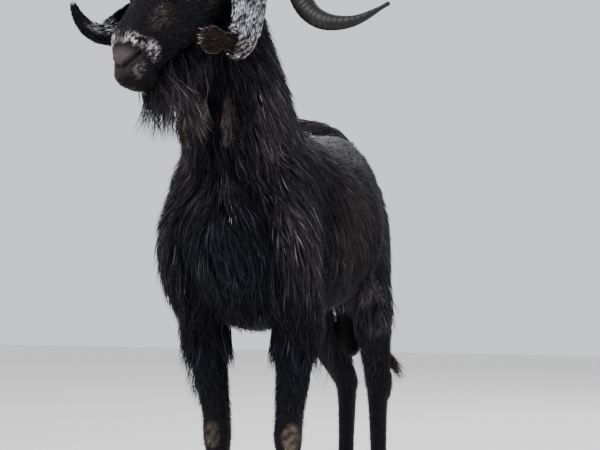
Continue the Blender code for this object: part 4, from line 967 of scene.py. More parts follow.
def tinted(nodes, links, shader, factor, low, high):
    """The piece's own tint, made darker and lighter by a value between two factors."""
    spread = nodes.new("ShaderNodeMapRange")
    spread.inputs["To Min"].default_value = low
    spread.inputs["To Max"].default_value = high
    links.new(factor, spread.inputs["Value"])
    product = nodes.new("ShaderNodeVectorMath")
    product.operation = "SCALE"
    links.new(attribute(nodes, "tint").outputs["Color"], product.inputs[0])
    links.new(spread.outputs["Result"], product.inputs["Scale"])
    links.new(product.outputs["Vector"], shader.inputs["Base Color"])


def object_coordinates(nodes):
    """The Object output of a Texture Coordinate node."""
    return nodes.new("ShaderNodeTexCoord").outputs["Object"]


def hair_material(name, roughness):
    """Hair in the tufts' own tint, with a soft gloss."""
    material, nodes, links, shader = principled(name, roughness, 0.10)
    place = object_coordinates(nodes)
    tinted(nodes, links, shader, noise(nodes, links, place, 160.0, 3.0), 0.72, 1.28)
    return material


def skin_material():
    """Skin in its own tint, varied by noise, with fine pores as bump all over."""
    material, nodes, links, shader = principled("skin", 0.50, 0.06)
    place = object_coordinates(nodes)
    pores = noise(nodes, links, place, 900.0, 3.0)
    tinted(nodes, links, shader, noise(nodes, links, place, 240.0, 4.0), 0.70, 1.30)
    bump(nodes, links, pores, shader, 0.35, 0.0006)
    return material


def horn_material():
    """Dark grey horn with fine lines across it and paler, worn streaks along it."""
    material, nodes, links, shader = principled("horn", 0.45, 0.25)
    streaks = noise(nodes, links, object_coordinates(nodes), 38.0, 5.0)
    colour = ramp(nodes, links, streaks, ((0.25, (0.005, 0.004, 0.004)),
                                          (0.55, (0.012, 0.011, 0.011)),
                                          (0.80, (0.034, 0.031, 0.030))))
    links.new(colour, shader.inputs["Base Color"])
    rings = nodes.new("ShaderNodeTexWave")
    rings.wave_type = "BANDS"
    rings.bands_direction = "X"
    rings.inputs["Scale"].default_value = 34.0
    rings.inputs["Distortion"].default_value = 3.5
    rings.inputs["Detail"].default_value = 3.0
    rings.inputs["Detail Scale"].default_value = 1.5
    links.new(attribute(nodes, "along").outputs["Vector"], rings.inputs["Vector"])
    bump(nodes, links, rings.outputs["Fac"], shader, 0.55, 0.0008)
    return material


def hoof_material():
    """Hoof horn, greyish brown, with level growth lines in darker and paler bands."""
    material, nodes, links, shader = principled("hoof", 0.62, 0.4)
    place = object_coordinates(nodes)
    lines = noise(nodes, links, place, 60.0, 4.0, (1.0, 1.0, 9.0))
    colour = ramp(nodes, links, lines, ((0.30, (0.028, 0.023, 0.020)),
                                        (0.60, (0.062, 0.052, 0.043)),
                                        (0.85, (0.120, 0.100, 0.082))))
    links.new(colour, shader.inputs["Base Color"])
    bump(nodes, links, lines, shader, 0.6, 0.0010)
    return material


def eye_material():
    """A wet eyeball in its own tint, under a clear coat."""
    material, nodes, links, shader = principled("eye", 0.06, 0.6)
    shader.inputs["Coat Weight"].default_value = 1.0
    shader.inputs["Coat Roughness"].default_value = 0.02
    links.new(attribute(nodes, "tint").outputs["Color"], shader.inputs["Base Color"])
    return material


def floor_material():
    """A plain pale floor."""
    material, _, _, shader = principled("pale floor", 0.8, 0.2)
    shader.inputs["Base Color"].default_value = (0.78, 0.77, 0.75, 1.0)
    return material


def linked(name, data):
    """A new object of the scene, from a mesh, a light or a camera."""
    made = bpy.data.objects.new(name, data)
    bpy.context.scene.collection.objects.link(made)
    return made


def piece_from(bm, name, material):
    """A finished piece: moved to the frame, faces out, riding on the goat."""
    bmesh.ops.recalc_face_normals(bm, faces=bm.faces)
    bmesh.ops.translate(bm, verts=bm.verts, vec=CENTRE_SHIFT)
    mesh = bpy.data.meshes.new(name)
    bm.to_mesh(mesh)
    bm.free()
    mesh.shade_smooth()
    mesh.materials.append(material)
    piece = linked(name, mesh)
    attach(piece, "root")
    return piece


def paint(mesh, colours):
    """Store one colour for each vertex in the map that the materials read."""
    layer = mesh.color_attributes.new("tint", "FLOAT_COLOR", "POINT")
    values = np.ones((len(mesh.vertices), 4), dtype=np.float32)
    values[:, :3] = colours
    layer.data.foreach_set("color", values.ravel())


def soft_step(values, low, high):
    """0 below low, 1 above high, and a smooth rise between them."""
    share = np.clip((values - low) / (high - low), 0.0, 1.0)
    return share * share * (3.0 - 2.0 * share)


def spot(points, centre, radii):
    """1 in the middle of an egg-shaped spot, falling smoothly to 0 at its edge."""
    reach = np.linalg.norm((points - np.array(centre)) / np.array(radii), axis=1)
    return 1.0 - soft_step(reach, SPOT_CORE, 1.0)


def in_head_frame(points):
    """Points as distances along the head, to its left and above its axis."""
    offsets = points - np.array(HEAD_BASE)
    return np.stack([offsets @ np.array(axis) for axis in (HEAD_FORWARD, HEAD_SIDE, HEAD_UP)],
                    axis=1)


def patchy(points, scale, seed):
    """A smooth random pattern from 0 to 1, from a few waves in random directions."""
    draw = np.random.default_rng(seed)
    total = np.zeros(len(points))
    for _ in range(PATCH_WAVES):
        way = draw.normal(size=3)
        way = way / np.linalg.norm(way) * scale * draw.uniform(*PATCH_SCALES)
        total += np.sin(points @ way + draw.uniform(0.0, PATCH_PHASE))
    return 0.5 + 0.5 * np.tanh(total / PATCH_EVENNESS)


def blend_to(colours, target, share):
    """Colours moved towards one colour by a share for each."""
    return colours + (np.array(target) - colours) * share[:, None]


def plain(colour, count):
    """One colour for each of many points."""
    return np.tile(np.array(colour), (count, 1))


def mottled(points, scale, seed, low, high):
    """Small random flecks: 0 between them, 1 on them."""
    fine = patchy(points, scale, seed)
    coarse = patchy(points, scale / FLECK_COARSER, seed + 1)
    share_fine, share_coarse = FLECK_SHARES
    return soft_step(fine * share_fine + coarse * share_coarse, low, high)


def mirrored(points, axis):
    """Points folded onto the left side."""
    folded = points.copy()
    folded[:, axis] = np.abs(folded[:, axis])
    return folded


def markings(points):
    """The coat's colour at each place on the skin."""
    head = mirrored(in_head_frame(points), 1)
    on_head = soft_step(head[:, 0], -0.02, 0.03) * (points[:, 1] < HEAD_BACK_Y)
    colours = plain(BLACK_COAT, len(points))
    body = mirrored(points, 0)
    for centre, radii, colour, share in BODY_MARKS:
        area = spot(body, centre, radii) * (0.55 + 0.45 * patchy(points, COAT_GRAIN, 5))
        colours = blend_to(colours, colour, share * area)
    for centre, radii, colour, share in HEAD_MARKS:
        area = spot(head, centre, radii) * on_head
        colours = blend_to(colours, colour, share * area)
    flecks = mottled(points, FROST_GRAIN, 3, *FROST_EDGE)
    for centre, radii, colour, share in FROST_MARKS:
        area = spot(head, centre, radii) * on_head
        colours = blend_to(colours, colour, share * area * flecks)
    worn = 0.25 + 0.75 * mottled(points, CALLUS_GRAIN, 17, *CALLUS_EDGE)
    for _, sign in SIDES:
        tint = CALLUS if sign > 0 else CALLUS_GREY
        colours = blend_to(colours, tint, callus_area(points, sign) * worn)
    return colours


def callus_area(points, sign):
    """1 on the bare callus of one knee, 0 away from it."""
    x, y = CALLUS_PLACE[sign]
    return np.minimum(1.0, CALLUS_FIRMNESS * spot(points, (x, y, CALLUS_HEIGHT), CALLUS_RADII))


def whole_body():
    """Head, neck, torso, legs, tail, sheath, scrotum and wattles as one closed bmesh."""
    bm = bmesh.new()
    loft(bm, [((0.0, y, z), width, drop, rise) for y, z, width, rise, drop in TORSO],
         FACETS["torso"])
    loft(bm, NECK, FACETS["neck"])
    loft(bm, [(head_point(along, 0.0, 0.0), width, rise, drop)
              for along, width, rise, drop in HEAD], FACETS["head"], HEAD_SIDE, 0.8, 0.8)
    muzzle(bm)
    for _, sign in SIDES:
        shoulder(bm, sign)
        thigh(bm, sign)
        loft(bm, foreleg_rows(sign), FACETS["leg"])
        loft(bm, hindleg_rows(sign), FACETS["leg"])
        heel(bm, sign)
        ball(bm, head_point(ORBIT[0], sign * ORBIT[1], ORBIT[2]), ORBIT_RADIUS)
        tube(bm, even_rings([((x * sign, y, z), width * WATTLE_CORE, depth * WATTLE_CORE)
                             for (x, y, z), width, depth in WATTLE]), FACETS["wattle"])
        core = [(point, side * HORN_CORE, front * HORN_CORE, back * HORN_CORE, tangent)
                for point, side, front, back, tangent in horn_rings(sign)[:HORN_CUT_STEP]]
        tube(bm, core, FACETS["horn core"], 0.6, 0.0)
    across, deep = TAIL_CORE
    tube(bm, even_rings([(place, radius * across, radius * deep) for place, radius in TAIL]),
         FACETS["tail"])
    tube(bm, even_rings(SCROTUM), FACETS["scrotum"])
    tube(bm, even_rings([(place, width * SHEATH_CORE, depth * SHEATH_CORE)
                         for place, width, depth in SHEATH]), FACETS["sheath"])
    return bm


def remeshed(bm, voxel, rounds):
    """One even surface over a bmesh, softened."""
    mesh = bpy.data.meshes.new("blank")
    bm.to_mesh(mesh)
    bm.free()
    blank = linked("blank", mesh)
    even = blank.modifiers.new("one surface", "REMESH")
    even.mode = "VOXEL"
    even.voxel_size = voxel
    soft = blank.modifiers.new("soften", "SMOOTH")
    soft.factor = 0.5
    soft.iterations = rounds
    made = bmesh.new()
    graph = bpy.context.evaluated_depsgraph_get()
    made.from_mesh(blank.evaluated_get(graph).to_mesh())
    bpy.data.objects.remove(blank, do_unlink=True)
    bpy.data.meshes.remove(mesh)
    return made


def soften(bm, verts, rounds):
    """Even out some points of a bmesh, round by round."""
    for _ in range(rounds):
        bmesh.ops.smooth_vert(bm, verts=verts, factor=0.5, use_axis_x=True, use_axis_y=True,
                              use_axis_z=True)


def distance_to_path(point, path):
    """How far a point lies from a path of straight stretches."""
    nearest = 1.0
    for start, end in zip(path, path[1:]):
        stretch = end - start
        share = (point - start).dot(stretch) / stretch.length_squared
        foot = start + stretch * min(1.0, max(0.0, share))
        nearest = min(nearest, (point - foot).length)
    return nearest


def dent(verts, path, radius, depth):
    """Press the skin in along a path, deepest on it."""
    for vert in verts:
        gap = distance_to_path(vert.co, path) / radius
        if gap < 1.0:
            vert.co -= vert.normal * depth * (1.0 - gap * gap) ** 2


def face_paths(tree, sign):
    """The nostril and the mouth line of one side, on the skin."""
    slit = []
    for side, rise, turn in NOSTRIL_ROWS:
        way = (HEAD_FORWARD + HEAD_SIDE * sign * turn).normalized()
        start = head_point(NOSTRIL_ALONG, side * sign * NOSTRIL_SPREAD, rise)
        slit.append(tree.ray_cast(start, way)[0])
    mouth = []
    for along, rise, turn in MOUTH_ROWS:
        way = (HEAD_FORWARD + HEAD_SIDE * sign * turn).normalized()
        mouth.append(tree.ray_cast(head_point(along, 0.0, rise), way)[0])
    return slit, mouth


def eye_centre(sign, tree):
    """An eyeball's centre, sunk so that only its front shows."""
    ahead, out, upward = EYE_LOOKS
    way = (HEAD_FORWARD * ahead + HEAD_SIDE * sign * out + HEAD_UP * upward).normalized()
    hit = tree.ray_cast(head_point(EYE_ALONG, 0.0, EYE_UP), way)[0]
    return hit - way * (EYE_RADIUS - EYE_SHOWS)


def gaze_axes():
    """For each side: the way the eye looks, the level line of its lids and the way up."""
    axes = {}
    ahead, out, upward = EYE_GAZE
    for _, sign in SIDES:
        gaze = (HEAD_FORWARD * ahead + HEAD_SIDE * sign * out + HEAD_UP * upward).normalized()
        level = HEAD_FORWARD * EYE_LEVEL[0] + HEAD_UP * EYE_LEVEL[1]
        level = (level - gaze * level.dot(gaze)).normalized()
        rise = gaze.cross(level)
        axes[sign] = (gaze, level, rise if rise.z > 0.0 else -rise)
    return axes


def lid_path(centre, axes, arch, reach):
    """The edge of an eyelid over the eyeball, from the front corner to the back one."""
    gaze, level, rise = axes
    path = []
    for step in range(LID_EDGE_STEPS + 1):
        angle = math.pi * step / LID_EDGE_STEPS
        flat = level * math.cos(angle) * EYE_OPENING + rise * math.sin(angle) * arch
        depth = math.sqrt(max(0.0, reach * reach - flat.length_squared))
        path.append(centre + flat + gaze * depth)
    return path


def wrap_eye(bm, centre, axes):
    """Draw the skin over the eyeball, and open it between the lids."""
    gaze, level, rise = axes
    near = [edge for edge in bm.edges
            if all((vert.co - centre).length < LID_FINE for vert in edge.verts)]
    bmesh.ops.subdivide_edges(bm, edges=near, cuts=1, use_grid_fill=True)
    hug_from, hug_over = LID_HUG
    for vert in bm.verts:
        offset = vert.co - centre
        if offset.length > LID_BLEND:
            continue
        way = offset.normalized()
        across, upward = way.dot(level) * EYE_RADIUS, way.dot(rise) * EYE_RADIUS
        arc = math.sqrt(max(0.0, 1.0 - (across / EYE_OPENING) ** 2))
        if way.dot(gaze) > 0.0 and LOWER_EDGE * arc < upward < UPPER_EDGE * arc:
            vert.co = centre + way * EYE_RADIUS * EYE_HOLLOW
            continue
        lid = EYE_RADIUS + LID_SKIN
        share = min(1.0, max(0.0, (offset.length - lid) / (LID_BLEND - lid)))
        hug = (1.0 - share) * min(1.0, max(0.0, (way.dot(gaze) - hug_from) / hug_over))
        vert.co = centre + way * max(lid, offset.length + (lid - offset.length) * hug)


def on_fine_head(vert):
    """Whether a point of the skin is in front of the line where the head gets finer."""
    return (vert.co - HEAD_BASE).dot(HEAD_FORWARD) > HEAD_FINE_ALONG


def build_skin():
    """The skin of the whole animal, with the finer head worked in.

    Gives the piece, its search tree, and the centre and axes of each eye.
    """
    bm = remeshed(whole_body(), SKIN_VOXEL, SKIN_SOFTENING)
    fine = [edge for edge in bm.edges
            if all(on_fine_head(vert) and vert.co.z > HEAD_FINE_FLOOR
                   and vert.co.y < HEAD_BACK_Y for vert in edge.verts)]
    bmesh.ops.subdivide_edges(bm, edges=fine, cuts=1, use_grid_fill=True)
    bm.normal_update()
    smooth_tree = BVHTree.FromBMesh(bm)
    head = [vert for vert in bm.verts if on_fine_head(vert)]
    soften(bm, head, FACE_SOFTENING)
    bm.normal_update()
    dark, eyes, gazes = [], {}, gaze_axes()
    for _, sign in SIDES:
        slit, mouth = face_paths(smooth_tree, sign)
        dent(head, slit, *NOSTRIL_DENT)
        dent(head, [place + HEAD_UP * NOSTRIL_RIM_RISE for place in slit], *NOSTRIL_RIM)
        dent(head, mouth, *MOUTH_DENT)
        # The nostril and the mouth line get painted shade
        dark += [(slit, NOSTRIL_SHADE_REACH), (mouth, MOUTH_SHADE_REACH)]
        centre = eye_centre(sign, smooth_tree)
        eyes[sign] = (centre, gazes[sign])
        brow = lid_path(centre, gazes[sign], UPPER_EDGE * BROW_ARCH, EYE_RADIUS + BROW_REACH)
        dent(head, brow, *BROW_RIDGE)
    for centre, axes in eyes.values():
        wrap_eye(bm, centre, axes)
    bmesh.ops.recalc_face_normals(bm, faces=bm.faces)
    bm.normal_update()
    tree = BVHTree.FromBMesh(bm)
    colours = skin_colours(np.array([vert.co for vert in bm.verts]), dark)
    piece = piece_from(bm, "skin", skin_material())
    paint(piece.data, colours)
    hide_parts(*FLESH_NODES)
    return piece, tree, eyes


def skin_colours(points, dark):
    """The markings, a bare nose pad, and painted shade in the nostrils and along the mouth line."""
    in_frame = in_head_frame(points)
    colours = markings(points) * SKIN_SHADE
    colours = blend_to(colours, NOSE_SKIN, NOSE_SHARE * spot(in_frame, *NOSE_PAD))
    # Painted shade: skin near the nostril slit and the mouth line is darkened
    painted_slit_shade = np.array(DARK_SKIN) * SLIT_SHADE
    for path, radius in dark:
        for index in np.nonzero(in_frame[:, 0] > FACE_START)[0]:
            gap = distance_to_path(Vector(points[index]), path) / radius
            if gap < 1.0:
                colours[index] += (painted_slit_shade - colours[index]) * (1.0 - gap)
    return colours


def build_horn(side_name, sign, material):
    """A horn that turns outwards, with the distance along it stored for its rings."""
    placed = horn_rings(sign, HORN_FINE_STEPS)[HORN_ROOT_STEP:]
    bm = bmesh.new()
    tube(bm, placed, FACETS["horn"], 0.0, HORN_TIP_ROUND)
    places = [item[0] for item in placed]
    finder = KDTree(len(places))
    for index, place in enumerate(places):
        finder.insert(place, index)
    finder.balance()
    reach = sum((second - first).length for first, second in zip(places, places[1:]))
    along = [finder.find(vert.co)[1] / len(places) * reach for vert in bm.verts]
    piece = piece_from(bm, f"horn_{side_name}_finished", material)
    layer = piece.data.attributes.new("along", "FLOAT_VECTOR", "POINT")
    values = np.zeros((len(along), 3), dtype=np.float32)
    values[:, 0] = along
    layer.data.foreach_set("vector", values.ravel())
    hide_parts(f"horn_{side_name}")


def build_eye(side_name, centre, axes, material, lid_material):
    """An eyeball with its iris and slot pupil, and the rims of the two lids round it."""
    gaze, level, rise = axes
    bm = bmesh.new()
    ball(bm, centre, EYE_RADIUS, axes=(level, gaze.cross(level), gaze), segments=FACETS["eye"])
    offsets = np.array([vert.co - centre for vert in bm.verts]) / EYE_RADIUS
    across, upward, front = [offsets @ np.array(axis) for axis in (level, rise, gaze)]
    grain = patchy(offsets * 0.01 + np.array(centre), IRIS_GRAIN, 4)
    iris = (1.0 - soft_step(np.hypot(across, upward), *IRIS_EDGE)) * (front > 0.0)
    slot = np.maximum(np.abs(across) / PUPIL_HALF[0], np.abs(upward) / PUPIL_HALF[1])
    colours = blend_to(plain(EYE_DARK, len(offsets)), IRIS, iris)
    colours = blend_to(colours, IRIS_DARK, iris * 0.6 * grain)
    colours = blend_to(colours, PUPIL, (1.0 - soft_step(slot, *PUPIL_EDGE)) * (front > 0.0))
    eyeball = piece_from(bm, f"eye_{side_name}_finished", material)
    paint(eyeball.data, colours)
    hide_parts(f"eye_{side_name}")
    bm = bmesh.new()
    for arch, thickness in LID_RIMS:
        path = lid_path(centre, axes, arch, EYE_RADIUS + LID_RIM_REACH)
        rows = []
        for step, place in enumerate(path):
            size = thickness * (0.50 + 0.50 * math.sin(math.pi * step / LID_EDGE_STEPS))
            rows.append((place, size, size, size * LID_RIM_DEPTH))
        loft(bm, rows, FACETS["lid"], gaze, 0.8, 0.8)
    lids = piece_from(bm, f"eyelids_{side_name}", lid_material)
    paint(lids.data, plain(DARK_SKIN, len(lids.data.vertices)))


def build_ear(side_name, sign, material):
    """A thin, cupped ear; gives the piece and its marks at each vertex."""
    line = EAR_LEFT if sign > 0 else EAR_RIGHT
    points = smooth_line([Vector(row[0]) for row in line], EAR_LENGTH_STEPS)
    widths = smooth_line([Vector((row[1], 0.0, 0.0)) for row in line], EAR_LENGTH_STEPS)
    middle = Vector(EAR_FACES[sign])
    last = len(line) - 1
    bm = bmesh.new()
    rings = []
    for step, (point, tangent) in enumerate(zip(points, path_tangents(points))):
        row = step / EAR_LENGTH_STEPS * last
        if row <= EAR_FOLD_ROW:
            outward = point - middle
        outward = (outward - tangent * outward.dot(tangent)).normalized()
        thickness = EAR_THICKNESS * max(EAR_THINNEST, EAR_ROOT_THICKNESS - row)
        half_width = max(EAR_TIP_WIDTH, widths[step].x)
        rings.append(ear_ring(point, tangent, outward, half_width, thickness,
                              EAR_ACROSS_STEPS))
    leaf(bm, rings)
    soften(bm, bm.verts, EAR_SOFTENING)
    places = np.array([vert.co for vert in bm.verts])
    around = np.arange(len(places)) % len(rings[0])
    rows = np.arange(len(places)) // len(rings[0]) / EAR_LENGTH_STEPS * last
    inner = around > EAR_ACROSS_STEPS
    edge = np.abs(np.cos(math.pi * around / EAR_ACROSS_STEPS))
    turned = rows > EAR_FOLD_ROW + EAR_FOLD_MARGIN
    dark = np.where(inner ^ turned if sign > 0 else inner | turned, 1.0, 0.0)
    dark *= 1.0 - EAR_PALE_SHARE * spot(places, *EAR_PALE_PATCH)
    brown_inside = np.full(len(places), 1.0 if sign > 0 else 0.0)
    marks = np.stack([dark, soft_step(edge, *EAR_RIM_EDGE), brown_inside], axis=1)
    piece = piece_from(bm, f"ear_{side_name}_finished", material)
    paint(piece.data, ear_colours(places, marks) * EAR_SKIN_SHADE)
    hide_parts(f"ear_{side_name}")
    return piece, marks


def ear_colours(points, marks):
    """Speckled outside, browner low down; inside brown with a pale rim, or black."""
    count = len(points)
    speckle = mottled(points, EAR_GRAIN, 21, *EAR_SPECKLE)
    low = soft_step(-points[:, 2], *EAR_LOW) * 0.75
    pale = blend_to(plain(EAR_PALE, count), EAR_TIP_PALE, low)
    black = plain(EAR_BLACK, count)
    colours = black + (pale - black) * speckle[:, None]
    brown = blend_to(plain(EAR_BROWN, count), EAR_RIM, marks[:, 1] * 0.7)
    inside = plain(EAR_INSIDE, count)
    inside += (brown - inside) * marks[:, 2:3]
    inside *= 0.7 + 0.6 * patchy(points, 300.0, 8)[:, None]
    return colours + (inside - colours) * marks[:, :1]


def build_claw(kind, side_name, sign, which, material):
    """One claw with rounded walls, worn at the toe, flat underneath."""
    foot = foot_place(kind, sign)
    front = foot.y - TOE_TO_FOOT
    stations = smooth_line([Vector((*row, 0.0)) for row in CLAW_WIDTHS], CLAW_STEPS)
    rings = []
    for share, width, _ in stations:
        x = foot.x + which * (CLAW_SIDE - TOE_IN * (1.0 - share))
        centre = Vector((x, front + CLAW_LENGTH * share, 0.0))
        section = []
        for across, height in CLAW_WALLS:
            slope = CLAW_SLOPE * height * (1.0 - share)
            section.append(centre + Vector((across * CLAW_HALF_WIDTH * width, slope, height)))
        rings.append(section)
    bm = bmesh.new()
    leaf(bm, rings)
    place, normal = coronet_cut(foot)
    geometry = bm.verts[:] + bm.edges[:] + bm.faces[:]
    bmesh.ops.bisect_plane(bm, geom=geometry, dist=1e-7, plane_co=place, plane_no=-normal,
                           clear_inner=True)
    edges = [edge for edge in bm.edges if edge.is_boundary]
    bmesh.ops.holes_fill(bm, edges=edges, sides=0)
    position = "outer" if which == sign else "inner"
    name = f"hoof_{kind}_{side_name}_{position}"
    piece = piece_from(bm, name + "_finished", material)
    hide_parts(name)


def region_of(points):
    """The coat region of each point: the same cuts that divide the solids."""
    at, way = head_cut()
    names = np.full(len(points), "chest", dtype="<U8")
    neck = (points - np.array(NECK_CUT_POINT)) @ np.array(NECK_CUT_NORMAL) > 0.0
    names[points[:, 1] > SHOULDER_CUT_Y] = "barrel"
    names[points[:, 1] > LOIN_CUT_Y] = "rump"
    names[neck & (points[:, 1] < SHOULDER_CUT_Y)] = "neck"
    names[(points - np.array(at)) @ np.array(way) > 0.0] = "head"
    below = points[:, 2] < LEG_CUT_Z + LEG_COAT_OVERLAP
    names[below & (names != "barrel")] = "legs"
    return names


def lie_of(point, normal, region):
    """The way the hair lies at a place, before it is laid on the skin."""
    if region == "head":
        return -HEAD_FORWARD + DOWN * HEAD_LIE_DROP
    if region in LIE:
        out, back, fall = LIE[region]
        if region == "neck":
            out = math.copysign(out, point.x - NECK_PARTING_X)
        if region == "chest":
            out = math.copysign(out, point.x) * (point.y < CHEST_PARTING_Y)
        return Vector((out, back, fall))
    top = max(0.0, normal.z)
    back, fall = TRUNK_LIE
    more_back, less_fall = TRUNK_LIE_TOP
    return Vector((0.0, back + more_back * top, fall + less_fall * top))


def length_factor(points, normals, region):
    """How long the hair is at each place, as a share of its region's length."""
    if region == "head":
        head = in_head_frame(points)
        back = 1.0 - soft_step(head[:, 0], *FACE_TO_BACK)
        jaw = soft_step(-head[:, 2], *JAW_DROP) * (1.0 - soft_step(head[:, 0], *JAW_END))
        face, more_back, more_jaw = FACE_HAIR
        return face + more_back * back + more_jaw * jaw
    off_bag = 1.0 - BAG_SHORTER * spot(points, *BAG)
    if region == "legs":
        upper = soft_step(points[:, 2], *LEG_LONG_FROM)
        rear = 0.55 + 0.45 * soft_step(normals[:, 1], *FACING_REAR)
        return np.maximum(LEG_SHORTEST, upper * rear) * off_bag
    top = soft_step(normals[:, 2], *FACING_UP)
    if region == "barrel":
        return 1.0 - BACK_SHORTER * top
    if region == "rump":
        return (1.0 - BACK_SHORTER * top) * off_bag
    return 1.0 - CREST_SHORTER * top


def lock_path(tree, root, normal, lie, length, lift, hang, shape):
    """The line of a leading tuft: it follows the skin, or hangs free by a share."""
    way = (lie - normal * lie.dot(normal)).normalized()
    path = [root]
    foot = root
    for before, after in zip(shape[0], shape[0][1:]):
        step = length * (after - before)
        free = path[-1] + (way * (1.0 - hang) + DOWN * hang).normalized() * step
        foot, near_normal = tree.find_nearest(foot + way * step)[:2]
        way = (lie - near_normal * lie.dot(near_normal)).normalized()
        laid = foot + near_normal * lift * after
        path.append(laid.lerp(free, hang))
    return path


def sample(surface, weights, count, draw):
    """Random places spread over triangles by weight: points, normals and the triangles."""
    triangles = surface["triangles"]
    chances = surface["areas"] * weights
    chosen = draw.choice(len(triangles), size=count, p=chances / chances.sum())
    first, second = draw.random(count), draw.random(count)
    swap = first + second > 1.0
    first[swap], second[swap] = 1.0 - first[swap], 1.0 - second[swap]
    corners = surface["points"][triangles[chosen]]
    places = (corners[:, 0] + (corners[:, 1] - corners[:, 0]) * first[:, None]
              + (corners[:, 2] - corners[:, 0]) * second[:, None])
    return places, surface["normals"][chosen], triangles[chosen]


def surface_of(piece):
    """The triangles of a piece, in the frame that everything is modelled in."""
    mesh = piece.data
    mesh.calc_loop_triangles()
    points = np.empty(len(mesh.vertices) * 3)
    mesh.vertices.foreach_get("co", points)
    points = points.reshape(-1, 3) - np.array(CENTRE_SHIFT)
    triangles = np.empty(len(mesh.loop_triangles) * 3, dtype=int)
    mesh.loop_triangles.foreach_get("vertices", triangles)
    triangles = triangles.reshape(-1, 3)
    corners = points[triangles]
    crossed = np.cross(corners[:, 1] - corners[:, 0], corners[:, 2] - corners[:, 0])
    areas = np.linalg.norm(crossed, axis=1)
    return {"points": points, "triangles": triangles, "areas": areas,
            "normals": crossed / np.maximum(areas, 1e-12)[:, None],
            "centres": corners.mean(axis=1)}


def unwrapped(points, axis_point, axis):
    """Places round and along an axis, as a map from 0 to 1 both ways."""
    axis = np.array(Vector(axis).normalized())
    side = np.cross(axis, (0.31, 0.52, 0.80))
    side = side / np.linalg.norm(side)
    third = np.cross(axis, side)
    offsets = points - np.array(axis_point)
    around = np.arctan2(offsets @ third, offsets @ side) / (2.0 * math.pi) + 0.5
    along = offsets @ axis
    along = (along - along.min()) / max(1e-9, along.max() - along.min())
    return MAP_EDGE + MAP_REACH * np.stack([around, along], axis=1)


def tuft_mesh(name, paths, normals, widths, colours, map_places, material, shape):
    """One piece of closed, three-sided, tapering tufts from arrays of their centre lines."""
    count = len(paths)
    rings = len(shape[1])
    size = rings * 3 + 1
    tangents = np.diff(paths, axis=1)
    tangents /= np.maximum(np.linalg.norm(tangents, axis=2, keepdims=True), 1e-9)
    sides = np.cross(tangents, normals[:, None, :])
    sides /= np.maximum(np.linalg.norm(sides, axis=2, keepdims=True), 1e-9)
    ups = np.cross(sides, tangents)
    verts = np.empty((count, size, 3))
    for ring_number, width in enumerate(shape[1]):
        half = (widths * width * 0.5)[:, None]
        centre = paths[:, ring_number]
        verts[:, ring_number * 3] = centre - sides[:, ring_number] * half
        verts[:, ring_number * 3 + 1] = centre + sides[:, ring_number] * half
        verts[:, ring_number * 3 + 2] = centre + ups[:, ring_number] * half * TUFT_HEIGHT
    verts[:, -1] = paths[:, -1]
    verts += np.array(CENTRE_SHIFT)
    quads = [(low * 3 + side, low * 3 + (side + 1) % 3, low * 3 + 3 + (side + 1) % 3,
              low * 3 + 3 + side) for low in range(rings - 1) for side in range(3)]
    top = rings * 3 - 3
    tips = [(top + side, top + (side + 1) % 3, size - 1) for side in range(3)]
    corners = [(0, 2, 1)] + tips + quads
    pattern = np.concatenate([np.array(face) for face in corners])
    loops = (np.arange(count)[:, None] * size + pattern[None, :]).ravel()
    totals = np.tile([len(face) for face in corners], count)
    mesh = bpy.data.meshes.new(name)
    mesh.vertices.add(count * size)
    mesh.vertices.foreach_set("co", verts.astype(np.float32).ravel())
    mesh.loops.add(len(loops))
    mesh.loops.foreach_set("vertex_index", loops.astype(np.int32))
    mesh.polygons.add(len(totals))
    starts = np.concatenate([[0], np.cumsum(totals)[:-1]])
    mesh.polygons.foreach_set("loop_start", starts.astype(np.int32))
    mesh.update(calc_edges=True)
    mesh.shade_smooth()
    shades = np.append(np.repeat(np.linspace(*ROOT_TO_TIP, rings), 3), ROOT_TO_TIP[1])
    paint(mesh, (colours[:, None, :] * shades[None, :, None]).reshape(-1, 3))
    patch = np.array([(side * 0.5, low / rings) for low in range(rings) for side in range(3)]
                     + [(0.5, 1.0)]) * UV_PATCH
    flat = map_places[:, None, :] + patch[None, :, :]
    layer = mesh.uv_layers.new(name="OFBake")
    layer.data.foreach_set("uv", flat.reshape(-1, 2)[loops].astype(np.float32).ravel())
    mesh.materials.append(material)
    piece = linked(name, mesh)
    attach(piece, "root")


def clumped(roots, normals, leaders, leader_paths, lengths, lift, spread, draw, shape):
    """Paths of all tufts: each follows its nearest leading tuft and leans in towards it."""
    count = len(roots)
    finder = KDTree(len(leaders))
    for index, leader in enumerate(leaders):
        finder.insert(roots[leader], index)
    finder.balance()
    nearest = np.array([finder.find(root)[1] for root in roots])
    own = leader_paths[nearest]
    offsets = own - own[:, 0:1]
    apart = roots - own[:, 0]
    pull = np.array(shape[2])[None, :, None]
    steps = np.array(shape[0])[None, :, None]
    paths = (roots[:, None, :] + offsets * lengths[:, None, None]
             - apart[:, None, :] * pull * draw.uniform(*CLUMP_PULL, (count, 1, 1)))
    paths += draw.normal(size=(count, 1, 3)) * spread * steps ** 1.5
    paths += normals[:, None, :] * draw.uniform(*CLUMP_STAND_OFF, (count, 1, 1)) * lift * steps
    paths[:, 0] -= normals * ROOT_DEPTH
    return paths


def tuft_tones(colours, draw, highlight_share):
    """Each tuft's tone: near the coat's colour, lighter or darker at random, a share painted far lighter
    as highlights.
    """
    count = len(colours)
    tone = np.exp(draw.normal(0.0, TONE_SPREAD, count))
    light = draw.random(count) < highlight_share
    # A share of the tufts is painted much lighter as highlights
    tone[light] *= draw.uniform(*HIGHLIGHT_TONES, light.sum())
    return colours * tone[:, None]


